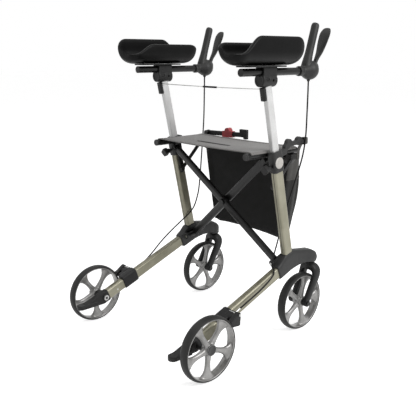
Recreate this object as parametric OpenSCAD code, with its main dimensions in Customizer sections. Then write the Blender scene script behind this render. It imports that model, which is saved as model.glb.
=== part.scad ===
// Upright walker with forearm supports: four wheels, two side frames, a folding cross brace,
// a fabric seat, a front bag and height-adjustable arm troughs with brake handles.
// +X is forward, +Y is the user's left, +Z is up. Millimetres.

/* [Wheels] */
// Diameter of all four wheels over the tyre
wheel_d = 200; // [180:2:210]
// Width of a tyre
tyre_w = 26; // [22:1:30]
// Radial thickness of a tyre
tyre_t = 7; // [5:0.5:9]
// Number of spokes in a rim
spokes = 5; // [4:1:6]
// Distance from the rear axle to the trailing caster axle
wheel_base = 476; // [460:2:500]
// Distance between the centre planes of the rear wheels
rear_track = 594; // [590:2:620]
// Distance from the swivel stem back to the caster axle
caster_trail = 46; // [42:1:50]

/* [Side frames] */
// Distance between the centre planes of the two side frames
frame_track = 488; // [484:2:496]
// Backward lean of the uprights
lean = 12; // [10:0.5:14]
// Height of the foot of the uprights above the axles
foot_z = 190; // [186:1:196]
// Distance from the swivel stem back to the upright at its foot
beam_len = 122; // [118:1:126]
// Depth of an upright, front to back
upright_d = 37; // [33:0.5:39]
// Thickness of an upright and of a lower tube
upright_t = 24; // [22:0.5:26]
// Height of a lower tube
lower_h = 38; // [34:1:40]
// Wall of the frame tubes
tube_wall = 2; // [1.5:0.1:2.5]
// Width of the groove along the narrow faces of the frame tubes
groove_w = 2.4; // [1.5:0.1:4]
// Depth of that groove
groove_h = 0.8; // [0.4:0.1:1.2]
// Depth of a height tube, front to back
mast_d = 28; // [26:0.5:28.5]
// Thickness of a height tube
mast_t = 19; // [17:0.5:19.5]

/* [Fold and seat] */
// Distance between the lower hinges of the cross brace
hinge_track = 428; // [424:1:430]
// Distance between the upper hinges of the cross brace
top_track = 416; // [412:1:418]
// Width of a brace tube in the plane of the cross
brace_b = 28; // [24:1:30]
// Thickness of a brace tube
brace_t = 16; // [14:0.5:17]
// Height of the seat rails above the axles
rail_z = 524; // [522:1:530]
// Distance between the seat rails
rail_track = 436; // [432:1:438]
// Diameter of a seat rail
rail_d = 22; // [20:0.5:22]
// Length of a seat rail
rail_len = 233; // [220:1:240]
// Thickness of the seat fabric
seat_t = 2; // [1.5:0.1:2.5]

/* [Arm supports] */
// Height of the arm tubes above the axles
arm_z = 775; // [770:1:790]
// Diameter of an arm tube
arm_d = 23; // [22:0.5:26]
// Length of an arm pad
pad_len = 284; // [260:2:300]
// Width of an arm pad
pad_w = 100; // [92:1:106]
// Height of the outer wall of an arm pad
pad_h = 80; // [74:1:86]
// Height of the inner wall of an arm pad
pad_low_h = 62; // [56:1:68]
// Diameter of a grip
grip_d = 25; // [23:0.5:29]
// Length of a grip from its root in the housing
grip_len = 136; // [125:1:145]

/* [Bag] */
// Width of the bag at its top
bag_w = 408; // [380:2:410]
// Depth of the bag, back to front
bag_d = 84; // [60:1:90]
// Height of the bag
bag_h = 288; // [240:2:290]

/* [Clearances] */
// Radial clearance of a pin that turns in a bore
run_gap = 0.05; // [0.02:0.01:0.1]
// Clearance of parts that slide or pass each other
slip_gap = 0.3; // [0.2:0.05:0.4]

/* [Hidden] */
$fn = 48;
champagne = "#8f8b78";
silver = "#dcdcdc";
black = "#2e2e2e";
grey_rim = "#a09b95";
dark_rubber = "#3a3a39";
seat_grey = "#84827f";
bag_black = "#262625";
steel = "#b5b5b3";
red = "#a8363a";

wheel_r = wheel_d / 2;
rim_r = wheel_r - tyre_t;
frame_y = frame_track / 2;
rear_y = rear_track / 2;
stem_x = wheel_base + caster_trail;
upright_x = stem_x - beam_len;

// Rear pedal reach and the shift that centres the object on its origin
pedal_reach = 106;
x_shift = (pedal_reach - wheel_base - wheel_r) / 2;

// Lower tube: its axis runs from the rear axle to the socket of the casting
socket_back = 50;
socket_z = foot_z - 58;
lower_slope = atan2(socket_z, upright_x - socket_back);
socket_s = norm([upright_x - socket_back, socket_z]);
lower_start = 16;
socket_depth = 25;
lower_end = socket_s + socket_depth;
corner_r = 7;

// Upright and collar, measured along the leaning axis from the foot
upright_in = 30;
collar_u = 286;
collar_len = 68;
collar_grip = 10;
upright_top = collar_u + collar_grip;
collar_wall = 3.5;
collar_d = upright_d + 2 * collar_wall;
collar_t = upright_t + 2 * collar_wall;

// Casting
nose_r = 26;
nose_z = 132;
nose_h = 42;
nose_round = 36;
cast_wall = 5;
cast_t = upright_t + 2 * cast_wall;
stem_d = 14;
stem_in = 36;

// Scissor: its mid plane lies behind the upright axis, the two braces in two layers
brace_w = -15;
brace_gap = 2;
layer = (brace_t + brace_gap) / 2;
hinge_y = hinge_track / 2;
top_y = top_track / 2;
hinge_u = -27;
top_u = 322;
brace_angle = atan2(top_u - hinge_u, hinge_y + top_y);
lower_arm = hinge_y / cos(brace_angle);
upper_arm = top_y / cos(brace_angle);
barrel_d = 22;
barrel_back = 22;
barrel_front = 38;
ear_t = 11;
pin_d = 10;
centre_pin_d = 12;
centre_boss_d = 34;
eye_d = 17;
eye_pin_d = 8;
lug_t = 8;

// Seat rails
rail_y = rail_track / 2;
rail_r = rail_d / 2;
rail_x0 = upright_x - 175;
rail_x1 = rail_x0 + rail_len;
seat_x0 = rail_x0 + 14;
seat_len = rail_len - 23;

// Masts and arm supports
mast_in = 250;
mast_bottom = collar_u + collar_len - mast_in;
head_u = 574;
head_d = 40;
head_len = 60;
head_x = upright_x - head_u * sin(lean);
head_z = foot_z + head_u * cos(lean);
mast_top = head_u + 4;
plate_t = 4;
plate_z = arm_z + arm_d / 2 + 3;
plate_len = 168;
plate_w = 60;
pad_x = upright_x - 137;
pad_z = plate_z + plate_t + slip_gap;
arm_x0 = upright_x - 228;
grip_x = upright_x + 76;
grip_z = arm_z + 16;
grip_lean = 17.5;
lever_x = upright_x + 104;
lever_z = arm_z + 12;
lever_pin_d = 6;
lever_root = 16;

// Front lock bar at the left rail
lock_x = rail_x1 + 0.5;
lock_t = 12;
lock_y = rail_y - 12;
lock_z = rail_z + 18;
lock_h = 16;
lock_end_y = 4;
release_y = 98;
release_len = 50;

// Brake
brake_s = 85;
sleeve_len = 62;
brake_x = 122;
brake_w = 16;
brake_z = 70;
brake_pin_d = 8;
shoe_gap = 1.8;

// Routes of the two brake cables from handle to brake, axle frame, both written for the left side.
// The left one hangs inside the frame, the right one passes outside the bag arm
cable_d = 5;
left_cable_route = [
  [480, 244, 744.5], [479, 244, 690], [476, 244, 590], [468, 244, 495], [459, 240, 437], [452, 238, 385],
  [446, 236, 350], [435, 232, 310], [412, 228, 264], [384, 227, 238], [354, 228, 220], [300, 236, 182],
  [262, 248, 146], [235, 260, 112], [200, 264, 84], [162, 264, 67.2]
];
right_cable_route = [
  [480, 244, 744.5], [479, 245, 700], [472, 250, 640], [460, 258, 575], [452, 256, 515], [442, 246, 455],
  [427, 233, 385], [402, 224, 300], [380, 223, 235], [362, 225, 195], [346, 230, 168], [336, 240, 156],
  [328, 252, 150], [318, 261, 138], [290, 263, 120], [250, 264, 101], [200, 264, 81.5], [162, 264, 67.2]
];
ferrule_x = 480;
ferrule_z = 744.8;

// Places a left-hand piece drawn in the axle frame, mirrored for the right-hand side
module placed(side) {
  translate([x_shift, 0, wheel_r])
    if (side > 0) children();
    else mirror([0, 1, 0]) children();
}

// Leaning frame of the upright: X across its depth, Z up along its axis
module on_upright() {
  translate([upright_x, 0, foot_z]) rotate([0, -lean, 0]) children();
}

// Frame of the lower tube: X forward along its axis
module on_lower() {
  rotate([0, -lower_slope, 0]) children();
}

// Extrudes an X-Z outline across Y, centred on the plane y
module across(y, thickness) {
  translate([0, y + thickness / 2, 0]) rotate([90, 0, 0]) linear_extrude(thickness) children();
}

// Extrudes a Y-Z outline forward along X
module forward(x, length) {
  translate([x, 0, 0]) rotate([90, 0, 90]) linear_extrude(length) children();
}

// Cylinder along Y between two planes
module y_cylinder(x, z, y0, y1, d) {
  translate([x, y1, z]) rotate([90, 0, 0]) cylinder(d = d, h = y1 - y0);
}

// Cylinder along X
module x_cylinder(x0, x1, y, z, d) {
  translate([x0, y, z]) rotate([0, 90, 0]) cylinder(d = d, h = x1 - x0);
}

module rounded_rect(size, r) {
  square([size.x - 2 * r, size.y], center = true);
  square([size.x, size.y - 2 * r], center = true);
  for (sx = [-1, 1], sy = [-1, 1])
    translate([sx * (size.x / 2 - r), sy * (size.y / 2 - r)]) circle(r);
}

module hollow_rect(size, r, wall) {
  difference() {
    rounded_rect(size, r);
    rounded_rect([size.x - 2 * wall, size.y - 2 * wall], r - wall);
  }
}

// Smooth curve through a list of points
function curve_point(p, i, t) =
  let (n = len(p) - 1, a = p[max(i - 1, 0)], b = p[i], c = p[min(i + 1, n)], d = p[min(i + 2, n)])
  0.5 * (2 * b + (c - a) * t + (2 * a - 5 * b + 4 * c - d) * t * t + (3 * b - a - 3 * c + d) * t * t * t);
function curve(p, steps) = concat(
  [for (i = [0:len(p) - 2], k = [0:steps - 1]) curve_point(p, i, k / steps)], [p[len(p) - 1]]);
function unit(v) = v / norm(v);

// Closed skin over rings of points, each ring turning to the right-hand side of the way it runs
function ring_walls(n, m) =
  [for (i = [0:n - 1], k = [0:m - 1], half = [0, 1])
    let (a = i * m + k, b = i * m + (k + 1) % m)
    half == 0 ? [a, a + m, b + m] : [a, b + m, b]];
module skin(rings) {
  n = len(rings) - 1;
  m = len(rings[0]);
  polyhedron(
    points = [for (r = rings, p = r) p],
    faces = concat(
      [[for (k = [0:m - 1]) k]],
      [[for (k = [0:m - 1]) n * m + m - 1 - k]],
      ring_walls(n, m)));
}

// Round cord swept along a curve that never runs straight along Y
module swept_cord(points, d, sides) {
  n = len(points) - 1;
  skin([for (i = [0:n])
    let (t = unit(points[min(i + 1, n)] - points[max(i - 1, 0)]),
         s = unit(cross([0, 1, 0], t)), u = cross(t, s))
    [for (k = [0:sides - 1]) points[i] + d / 2 * (cos(360 * k / sides) * s + sin(360 * k / sides) * u)]]);
}

// Side outline of the corner casting: sockets at the back, beam and rounded nose in front
module casting_side() {
  half = lower_h / 2 + cast_wall;
  sock = [upright_x - socket_back, socket_z];
  up = [-sin(lower_slope), cos(lower_slope)];
  lip = [sin(lean), -cos(lean)];
  foot = [upright_x, foot_z];
  wide = (upright_d / 2 + cast_wall) * [cos(lean), sin(lean)];
  difference() {
    polygon([
      sock - half * up, sock + half * up, foot - wide, foot + wide, foot + wide + 8 * lip,
      [stem_x - nose_round / 3, nose_z + nose_h], [stem_x, nose_z], [stem_x - 66, nose_z]
    ]);
    translate([upright_x + 54, foot_z + 32]) circle(40);
    translate([upright_x - 66, foot_z + 6]) circle(26);
  }
  intersection() {
    translate([stem_x - nose_round / 3, nose_z + nose_h - nose_round]) circle(nose_round);
    translate([stem_x - 40, nose_z]) square([80, 80]);
  }
}

module casting() {
  color(black) difference() {
    union() {
      intersection() {
        across(frame_y, 2 * nose_r) casting_side();
        translate([0, 0, socket_z - lower_h]) linear_extrude(2 * foot_z) {
          translate([upright_x - 100, frame_y - cast_t / 2]) square([stem_x - upright_x + 100, cast_t]);
          translate([stem_x, frame_y]) circle(nose_r);
        }
      }
      on_upright() for (w = [brace_w - barrel_back - slip_gap - ear_t, brace_w + barrel_front + slip_gap]) {
        x_cylinder(w, w + ear_t, hinge_y, hinge_u, barrel_d);
        translate([w, hinge_y, hinge_u - barrel_d / 2]) cube([ear_t, frame_y - cast_t / 2 + 1 - hinge_y, barrel_d]);
      }
    }
    on_upright() translate([0, frame_y, -upright_in])
      linear_extrude(2 * upright_in) rounded_rect([upright_d, upright_t], corner_r);
    on_lower() forward_at(0, lower_end) rounded_rect([upright_t, lower_h], corner_r);
    translate([stem_x, frame_y, nose_z - 1]) cylinder(d = stem_d + 2 * run_gap, h = stem_in + 1);
    on_upright() x_cylinder(brace_w - 60, brace_w + 70, hinge_y, hinge_u, pin_d);
  }
}

// Extrudes a section along the lower tube, centred on the side frame
module forward_at(x0, x1) {
  translate([x0, frame_y, 0]) rotate([90, 0, 90]) linear_extrude(x1 - x0) children();
}

module upright() {
  color(champagne) on_upright() translate([0, frame_y, -upright_in])
    linear_extrude(upright_in + upright_top) difference() {
      hollow_rect([upright_d, upright_t], corner_r, tube_wall);
      for (s = [-1, 1]) translate([s * upright_d / 2, 0]) square([2 * groove_h, groove_w], center = true);
    }
}

module lower_tube() {
  color(champagne) on_lower() forward_at(lower_start, lower_end) difference() {
    hollow_rect([upright_t, lower_h], corner_r, tube_wall);
    for (s = [-1, 1]) translate([0, s * lower_h / 2]) square([groove_w, 2 * groove_h], center = true);
  }
}

// Collar that caps the upright, guides the height tube and cradles the seat rail
module collar() {
  color(black) difference() {
    on_upright() {
      translate([0, frame_y, collar_u]) linear_extrude(collar_len) rounded_rect([collar_d, collar_t], 9);
      translate([0, frame_y - 8, boss_u]) cube([boss_w, 16, boss_h]);
    }
    on_upright() translate([0, frame_y, collar_u - 1])
      linear_extrude(collar_grip + 1) rounded_rect([upright_d, upright_t], corner_r);
    on_upright() translate([0, frame_y, collar_u])
      linear_extrude(collar_len + 1)
        rounded_rect([mast_d + 2 * slip_gap, mast_t + 2 * slip_gap], 5 + slip_gap);
    on_upright() x_cylinder(-collar_d, 0, frame_y, knob_u, knob_pin_d + 2 * run_gap);
    on_upright() translate([0, frame_y + collar_t / 2 - 1, collar_u + 30]) rotate([-90, 0, 0]) cylinder(d = 37, h = 2);
    x_cylinder(rail_x0, rail_x1, rail_y, rail_z, rail_d + 2 * seat_t + 4 * slip_gap);
    translate([rail_x0, rail_y - rail_r, rail_z])
      cube([rail_len, rail_r + rail_r + seat_t + 2 * slip_gap, 2 * collar_len]);
  }
}

boss_w = collar_d / 2 + 12;
boss_u = collar_u + collar_len - 26;
boss_h = 20;
knob_u = collar_u + 22;
knob_pin_d = 8;
knob_reach = 58;

// Four-cornered clamp knob on its stud, at the back of the collar
module clamp_knob() {
  color(black) on_upright() {
    x_cylinder(-knob_reach, -mast_d / 2 - slip_gap - 0.2, frame_y, knob_u, knob_pin_d);
    translate([-knob_reach, frame_y, knob_u]) rotate([0, 90, 0])
      linear_extrude(16) rotate(45) rounded_rect([24, 24], 5);
    x_cylinder(-knob_reach + 16, -knob_reach + 26, frame_y, knob_u, 18);
  }
}

// Rear end piece: plug in the lower tube, axle boss and the pedal for tipping over kerbs
module tip_pedal() {
  up = [-sin(lower_slope), cos(lower_slope)];
  run = [cos(lower_slope), sin(lower_slope)];
  boss_end = rear_y - hub_in - slip_gap;
  color(black) difference() {
    union() {
      across(frame_y, upright_t) {
        polygon([
          lower_start * run + lower_h / 2 * up, lower_start * run - lower_h / 2 * up,
          -14 * run - lower_h / 2 * up, [-pedal_reach + 24, -22], [-pedal_reach + 24, -8]
        ]);
      }
      on_lower() forward_at(lower_start - 1, lower_start + 20)
        rounded_rect([upright_t - 2 * tube_wall, lower_h - 2 * tube_wall], corner_r - tube_wall);
      translate([0, frame_y + 2, -22]) linear_extrude(14) {
        translate([-pedal_reach + 16, 0]) circle(16);
        translate([-pedal_reach + 16, -16]) square([pedal_reach - 46, 32]);
      }
      y_cylinder(0, 0, frame_y - upright_t / 2, boss_end, 30);
    }
    y_cylinder(0, 0, 0, boss_end + 1, axle_d);
  }
}

axle_d = 12;
hub_in = 15;
hub_out = 12;

// Brake carrier on the lower tube with the lug for the brake arm
module brake_sleeve() {
  color(black) difference() {
    union() {
      on_lower() translate([0, 0, 3]) forward_at(brake_s, brake_s + sleeve_len)
        rounded_rect([upright_t + 8, lower_h + 10], 10);
      y_cylinder(brake_x, brake_z, frame_y, brake_in_y - slip_gap, 20);
      on_lower() translate([brake_s + sleeve_len - 12, frame_y + upright_t / 2, adjuster_n - 7]) cube([12, 15, 14]);
    }
    on_lower() forward_at(brake_s - 1, brake_s + sleeve_len + 1) rounded_rect([upright_t, lower_h], corner_r);
    y_cylinder(brake_x, brake_z, frame_y + upright_t / 2, rear_y, brake_pin_d);
    on_lower() x_cylinder(brake_s + sleeve_len - 13, brake_s + 100, adjuster_y, adjuster_n, 6);
  }
}

brake_in_y = rear_y - brake_w / 2 - 3;
brake_out_y = brake_in_y + brake_w;
adjuster_y = frame_y + 20;
adjuster_n = 6;

// Brake arm with a hollowed shoe in front of the tyre
module brake_arm() {
  color(black) difference() {
    across((brake_in_y + brake_out_y) / 2, brake_out_y - brake_in_y) difference() {
      union() {
        translate([brake_x, brake_z]) circle(10);
        polygon([[brake_x - 7, brake_z + 7], [brake_x + 10, brake_z - 2], [brake_x + 6, 24], [brake_x - 2, 16],
          [brake_x - 32, 16], [brake_x - 38, 40], [brake_x - 22, 62]]);
      }
      circle(wheel_r + shoe_gap, $fn = 96);
    }
    y_cylinder(brake_x, brake_z, 0, rear_y + tyre_w, brake_pin_d + 2 * run_gap);
  }
}

// Steel pieces of one side frame: rear axle, brace hinge pin, brake pivot, cable adjuster
module frame_pins() {
  color(steel) {
    y_cylinder(0, 0, frame_y - upright_t / 2 - 6, rear_y + hub_out + 1, axle_d);
    y_cylinder(0, 0, frame_y - upright_t / 2 - 6, frame_y - upright_t / 2, 19);
    y_cylinder(0, 0, rear_y + hub_out + slip_gap, rear_y + hub_out + 3, 34);
    on_upright() x_cylinder(brace_w - barrel_back - slip_gap - ear_t - 2,
      brace_w + barrel_front + slip_gap + ear_t + 2, hinge_y, hinge_u, pin_d);
    y_cylinder(brake_x, brake_z, frame_y + upright_t / 2 + 4, brake_out_y + 3, brake_pin_d);
    on_lower() x_cylinder(brake_s + sleeve_len - 12, brake_s + sleeve_len + 28, adjuster_y, adjuster_n, 6);
  }
}

// Strut from the upright to the front of the seat rail, with the cradle that the rail rests in
strut_x = upright_x - 50;
strut_z = foot_z + 225;
cradle_x = rail_x1 - 22;
cradle_z = rail_z - rail_r - 12;
cradle_len = 24;
module seat_strut() {
  rise = cradle_z - strut_z;
  run = cradle_x - strut_x;
  color(black) difference() {
    union() {
      on_upright() translate([-8, frame_y - upright_t / 2 - 6, 216]) cube([16, 6, collar_u - 216]);
      translate([strut_x, frame_y - upright_t / 2 - 7, strut_z]) rotate([0, 90 - atan2(rise, run), 0])
        cylinder(d = 13, h = norm([rise, run]));
      y_cylinder(strut_x, strut_z, frame_y - upright_t / 2 - 14, frame_y - upright_t / 2, 18);
      translate([cradle_x - cradle_len / 2, rail_y - rail_r, cradle_z - 6]) cube([cradle_len, rail_d + 2, rail_z - rail_r - cradle_z + 6]);
    }
    x_cylinder(rail_x0, rail_x1 + 10, rail_y, rail_z, rail_d + 2 * slip_gap);
  }
}

module height_tube() {
  color(silver) on_upright() translate([0, frame_y, mast_bottom])
    linear_extrude(mast_top - mast_bottom) hollow_rect([mast_d, mast_t], 5, 1.5);
}

wire_u = 552;
sleeve_y = -18;
wire_w = -mast_d / 2 - 6;
wire_d = 3;
// Clip that holds the end of the tie wire on the back of the height tube
module wire_clip() {
  color(black) on_upright() difference() {
    translate([-mast_d / 2 - 11, frame_y, wire_u - 36]) linear_extrude(40)
      translate([5.5, 0]) rounded_rect([11, mast_t], 3);
    translate([wire_w, 0, wire_u]) rotate([-90, 0, 0]) cylinder(d = wire_d + 2 * slip_gap, h = frame_y + 4);
  }
}

// Clamp head on the height tube: a barrel with end discs below, the arm tube clamp above
module arm_head() {
  color(black) difference() {
    union() {
      x_cylinder(head_x - head_len / 2, head_x + head_len / 2, frame_y, head_z, head_d);
      translate([head_x - 28, frame_y - 17, head_z]) cube([58, 34, plate_z - head_z]);
      on_upright() translate([0, frame_y, head_u - 17]) linear_extrude(15)
        rounded_rect([mast_d + 10, mast_t + 8], 8);
    }
    x_cylinder(head_x - 60, head_x + 60, frame_y, arm_z, arm_d);
    on_upright() translate([0, frame_y, head_u - head_d]) linear_extrude(head_d + 4) rounded_rect([mast_d, mast_t], 5);
    x_cylinder(head_x - head_len / 2 - 1, head_x - head_len / 2 + 2, frame_y, head_z, head_d - 12);
    for (s = [-1, 1]) {
      translate([head_x + 12, frame_y + s * head_d / 2, head_z]) rotate([90, 0, 0]) cylinder(d = 7, h = 12, center = true);
      translate([head_x - 12, frame_y + s * head_d / 2, head_z + 6]) cube([14, 8, 14], center = true);
    }
  }
}

module arm_tube() {
  color(black) difference() {
    x_cylinder(arm_x0, grip_x - 31, frame_y, arm_z, arm_d);
    x_cylinder(arm_x0 + 4, grip_x - 30, frame_y, arm_z, arm_d - 4);
  }
}

module arm_plate() {
  color(black) translate([pad_x - 2, frame_y, plate_z]) linear_extrude(plate_t)
    rounded_rect([plate_len, plate_w], 12);
}

// Trough pad. One wall is tall and cut away at one end, the other is low and cut away at the
// other end; the right-hand pad is the same moulding turned half round.
pad_half = pad_len / 2;
pad_end = 36;
pad_depth = 40;
pad_floor = 14;
pad_wall = 13;
pad_rise = 20;
pad_nose = 45;
pad_lip = 30;
pad_cut = 54;
pad_swing = 76;
pad_rows = 30;
pad_cols = 7;
function smooth(t) = let (c = max(0, min(1, t))) c * c * (3 - 2 * c);
function end_round(x) = let (e = max(0, (abs(x) - (pad_half - pad_end)) / pad_end)) 1 - sqrt(max(0, 1 - e * e));
function pad_base(x) = pad_rise * end_round(x);
function pad_top(x, h, cut_side) = min(h - (h - pad_nose) * end_round(x),
  h - (h - pad_lip) * smooth((x * cut_side - pad_cut) / pad_swing));
function pad_side(x) = pad_w / 2 * (1 - 0.24 * end_round(x));
function bowl(z, depth) = sqrt(max(0, 1 - pow(1 - min(1, z / depth), 2)));
function pad_outer(x, h, k) = let (z = h * (1 - sin(90 * k / pad_cols))) [pad_side(x) * bowl(z, pad_depth), z];
function pad_inner(x, h, floor, k) = let (z = (h - floor) * (1 - sin(90 * k / pad_cols)))
  [(pad_side(x) - pad_wall) * bowl(z, pad_depth - pad_floor + 4), floor + z];
function pad_ring(x) =
  let (b = pad_base(x), hl = pad_top(x, pad_h, 1) - b, hr = pad_top(x, pad_low_h, -1) - b,
       floor = min(pad_floor, 0.55 * min(hl, hr)),
       lip_l = (pad_outer(x, hl, 0) + pad_inner(x, hl, floor, 0)) / 2,
       lip_r = (pad_outer(x, hr, 0) + pad_inner(x, hr, floor, 0)) / 2)
  concat(
    [for (k = [0:pad_cols]) let (p = pad_outer(x, hl, k)) [x, p.x, b + p.y]],
    [for (k = [pad_cols - 1:-1:0]) let (p = pad_outer(x, hr, k)) [x, -p.x, b + p.y]],
    [[x, -lip_r.x, b + lip_r.y + 3]],
    [for (k = [0:pad_cols]) let (p = pad_inner(x, hr, floor, k)) [x, -p.x, b + p.y]],
    [for (k = [pad_cols - 1:-1:0]) let (p = pad_inner(x, hl, floor, k)) [x, p.x, b + p.y]],
    [[x, lip_l.x, b + lip_l.y + 3]]);
function pad_end(o, flip) =
  let (last = 4 * pad_cols + 3, faces = concat(
    [for (i = [0:2 * pad_cols - 1]) [i, i + 1, last - 2 - i, last - 1 - i]],
    [[last, 0, last - 1], [2 * pad_cols, 2 * pad_cols + 1, 2 * pad_cols + 2]]))
  [for (f = faces) let (n = len(f) - 1) [for (k = [0:n]) o + f[flip ? n - k : k]]];
module pad_solid() {
  rings = [for (i = [0:pad_rows]) pad_ring(-pad_half * cos(180 * i / pad_rows))];
  m = len(rings[0]);
  polyhedron(
    points = [for (r = rings, p = r) p],
    faces = concat(pad_end(0, false), pad_end(pad_rows * m, true), ring_walls(pad_rows, m)));
}
module arm_pad() {
  color(black) translate([pad_x, frame_y, pad_z]) pad_solid();
}

// Brake housing with its clamp ring on the arm tube, the cable ferrule and the slender upright grip
module handle() {
  color(black) difference() {
    union() {
      hull() {
        translate([grip_x - 22, frame_y, arm_z]) sphere(14, $fn = 24);
        translate([grip_x + 8, frame_y, arm_z + 3]) sphere(28, $fn = 24);
        translate([grip_x + 22, frame_y, arm_z + 11]) sphere(18, $fn = 24);
      }
      x_cylinder(grip_x - 48, grip_x - 36, frame_y, arm_z, arm_d + 8);
      x_cylinder(grip_x - 36, grip_x - 10, frame_y, arm_z, arm_d + 5);
      translate([grip_x - 10, frame_y, grip_z]) rotate([0, grip_lean, 0]) grip();
      translate([ferrule_x, frame_y, ferrule_z]) cylinder(d = 8, h = 16);
    }
    x_cylinder(grip_x - 60, grip_x - 31, frame_y, arm_z, arm_d);
    translate([lever_x - slot_back, frame_y - lever_root / 2 - slip_gap, lever_z - slot_back])
      cube([60, lever_root + 2 * slip_gap, 46]);
  }
  color(steel) y_cylinder(lever_x, lever_z, frame_y - lever_root / 2 - 2, frame_y + lever_root / 2 + 2, lever_pin_d);
}

// Grip turned about its own axis: flared foot, straight hand part and a rounded top
module grip() {
  r = grip_d / 2;
  top_r = 5;
  rotate_extrude() {
    polygon([[0, -6], [18, -6], [18, 2], [r + 3, 18], [r + 1, 34], [r, 52], [r, grip_len - top_r], [0, grip_len - top_r]]);
    square([r - top_r, grip_len]);
    translate([r - top_r, grip_len - top_r]) intersection() {
      circle(top_r);
      square(top_r);
    }
  }
}

// Spoon-shaped brake lever: a skin over ovals along a bent line, on a drilled pivot barrel
lever_barrel = 16;
slot_back = lever_barrel / 2 + 0.6;
// Each row: forward, up, half width, half thickness
lever_line = [
  [0, 0, 8, 7], [6, 12, 8, 6.5], [13, 25, 8, 6], [26, 44, 11, 5.5], [35, 63, 14, 5],
  [44, 83, 17, 4.5], [53, 103, 17.5, 4.5], [61, 116, 11, 3.5], [63, 119, 5, 2]
];
module brake_lever() {
  rows = curve(lever_line, 3);
  n = len(rows) - 1;
  color(black) difference() {
    union() {
      skin([for (i = [0:n])
        let (a = rows[max(i - 1, 0)], b = rows[min(i + 1, n)], t = unit([b[0] - a[0], 0, b[1] - a[1]]),
             c = [lever_x + rows[i][0], frame_y, lever_z + rows[i][1]], u = cross(t, [0, 1, 0]))
        [for (k = [0:13]) c + rows[i][2] * cos(360 * k / 14) * [0, 1, 0] + rows[i][3] * sin(360 * k / 14) * u]]);
      y_cylinder(lever_x, lever_z, frame_y - lever_root / 2, frame_y + lever_root / 2, lever_barrel);
    }
    y_cylinder(lever_x, lever_z, 0, 2 * frame_y, lever_pin_d + 2 * run_gap);
  }
}

// Tyre turned about the wheel axis, which lies along Z here
module tyre() {
  w = tyre_w / 2;
  r = 4;
  color(dark_rubber) rotate_extrude($fn = 96) {
    translate([rim_r + slip_gap, -w]) square([tyre_t - slip_gap - r, tyre_w]);
    translate([wheel_r - r, -w + r]) square([r, tyre_w - 2 * r]);
    for (s = [-1, 1]) translate([wheel_r - r, s * (w - r)]) intersection() {
      circle(r);
      translate([0, s > 0 ? 0 : -r]) square(r);
    }
  }
}

// Spoked rim: barrel, hub and flared spokes, along Z; hub ends below and above the centre plane
module rim(hub_low, hub_high, bore_d) {
  barrel = 5;
  inner = rim_r - barrel;
  color(grey_rim) difference() {
    union() {
      rotate_extrude($fn = 96) polygon([
        [rim_r, -11], [rim_r, 11], [inner - 1, 12], [inner, 9], [inner + 2, 0], [inner, -9], [inner - 1, -12]
      ]);
      translate([0, 0, -hub_low]) cylinder(r = 17, h = hub_low + hub_high);
      intersection() {
        linear_extrude(2 * tyre_w, center = true) difference() {
          circle(inner + 3);
          for (k = [0:spokes - 1]) rotate(75 + (k + 0.5) * 360 / spokes) spoke_window(inner);
        }
        rotate_extrude() polygon([
          [0, -12], [17, -10], [34, -6], [inner - 20, -6], [inner - 4, -10], [inner + 3, -10],
          [inner + 3, 11], [inner - 4, 11], [inner - 18, 8], [34, 8], [17, 11], [0, 11]
        ]);
      }
    }
    cylinder(d = bore_d, h = 4 * tyre_w, center = true);
  }
}

// Window between two spokes: narrow at the hub, wide and round at the barrel
module spoke_window(outer) {
  spread = 180 / spokes - 17;
  hull() {
    translate([38, 0]) circle(9, $fn = 32);
    for (s = [-1, 1]) rotate(s * spread) translate([outer - 14, 0]) circle(12, $fn = 32);
  }
}

// Puts a wheel piece on the rear axle or on the caster axle
module on_rear_axle() {
  translate([0, rear_y, 0]) rotate([-90, 0, 0]) children();
}
module on_caster_axle() {
  translate([wheel_base, frame_y, 0]) rotate([-90, 0, 0]) children();
}

leg_y = 28;
leg_d = 20;
leg_step = 0.8;
caster_hub = 17;
caster_axle_d = 10;
leg_angle = 26;
leg_bend = 60;
crown_t = 26;
crown_r = 18;

// Caster fork: swivel stem, round-shouldered crown and two legs that bend back to the axle
module caster_fork() {
  leg_len = (caster_trail - leg_bend * (1 - cos(leg_angle))) / sin(leg_angle);
  knee_z = leg_bend * sin(leg_angle) + leg_len * cos(leg_angle);
  top_z = nose_z - slip_gap;
  half = leg_y + leg_d / 2;
  color(black) difference() {
    union() {
      translate([stem_x, frame_y, top_z]) cylinder(d = stem_d, h = stem_in - 1);
      translate([0, frame_y, top_z - crown_t]) forward(stem_x - leg_d / 2, leg_d) {
        translate([crown_r - half, 0]) square([2 * (half - crown_r), crown_t]);
        translate([-half, 0]) square([2 * half, crown_t - crown_r]);
        for (s = [-1, 1]) translate([s * (half - crown_r), crown_t - crown_r]) circle(crown_r);
      }
      for (s = [-1, 1]) translate([stem_x, frame_y + s * leg_y, 0]) {
        translate([-leg_bend, 0, knee_z]) rotate([90, 0, 0]) rotate([0, 0, -leg_angle])
          rotate_extrude(angle = leg_angle) translate([leg_bend, 0]) circle(d = leg_d);
        translate([-caster_trail, 0, 0]) rotate([0, leg_angle, 0]) cylinder(d = leg_d - leg_step, h = leg_len + 3);
        translate([-caster_trail, 0, 0]) rotate([90, 0, 0]) cylinder(d = leg_d + 2, h = leg_d, center = true);
      }
    }
    y_cylinder(wheel_base, 0, frame_y - 2 * leg_y, frame_y + 2 * leg_y, caster_axle_d);
  }
}

module caster_axle() {
  reach = leg_y + leg_d / 2 + 2;
  color(steel) {
    y_cylinder(wheel_base, 0, frame_y - reach, frame_y + reach, caster_axle_d);
    for (s = [-1, 1]) y_cylinder(wheel_base, 0, frame_y + s * reach - 2, frame_y + s * reach + 2, 16);
  }
}

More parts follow.
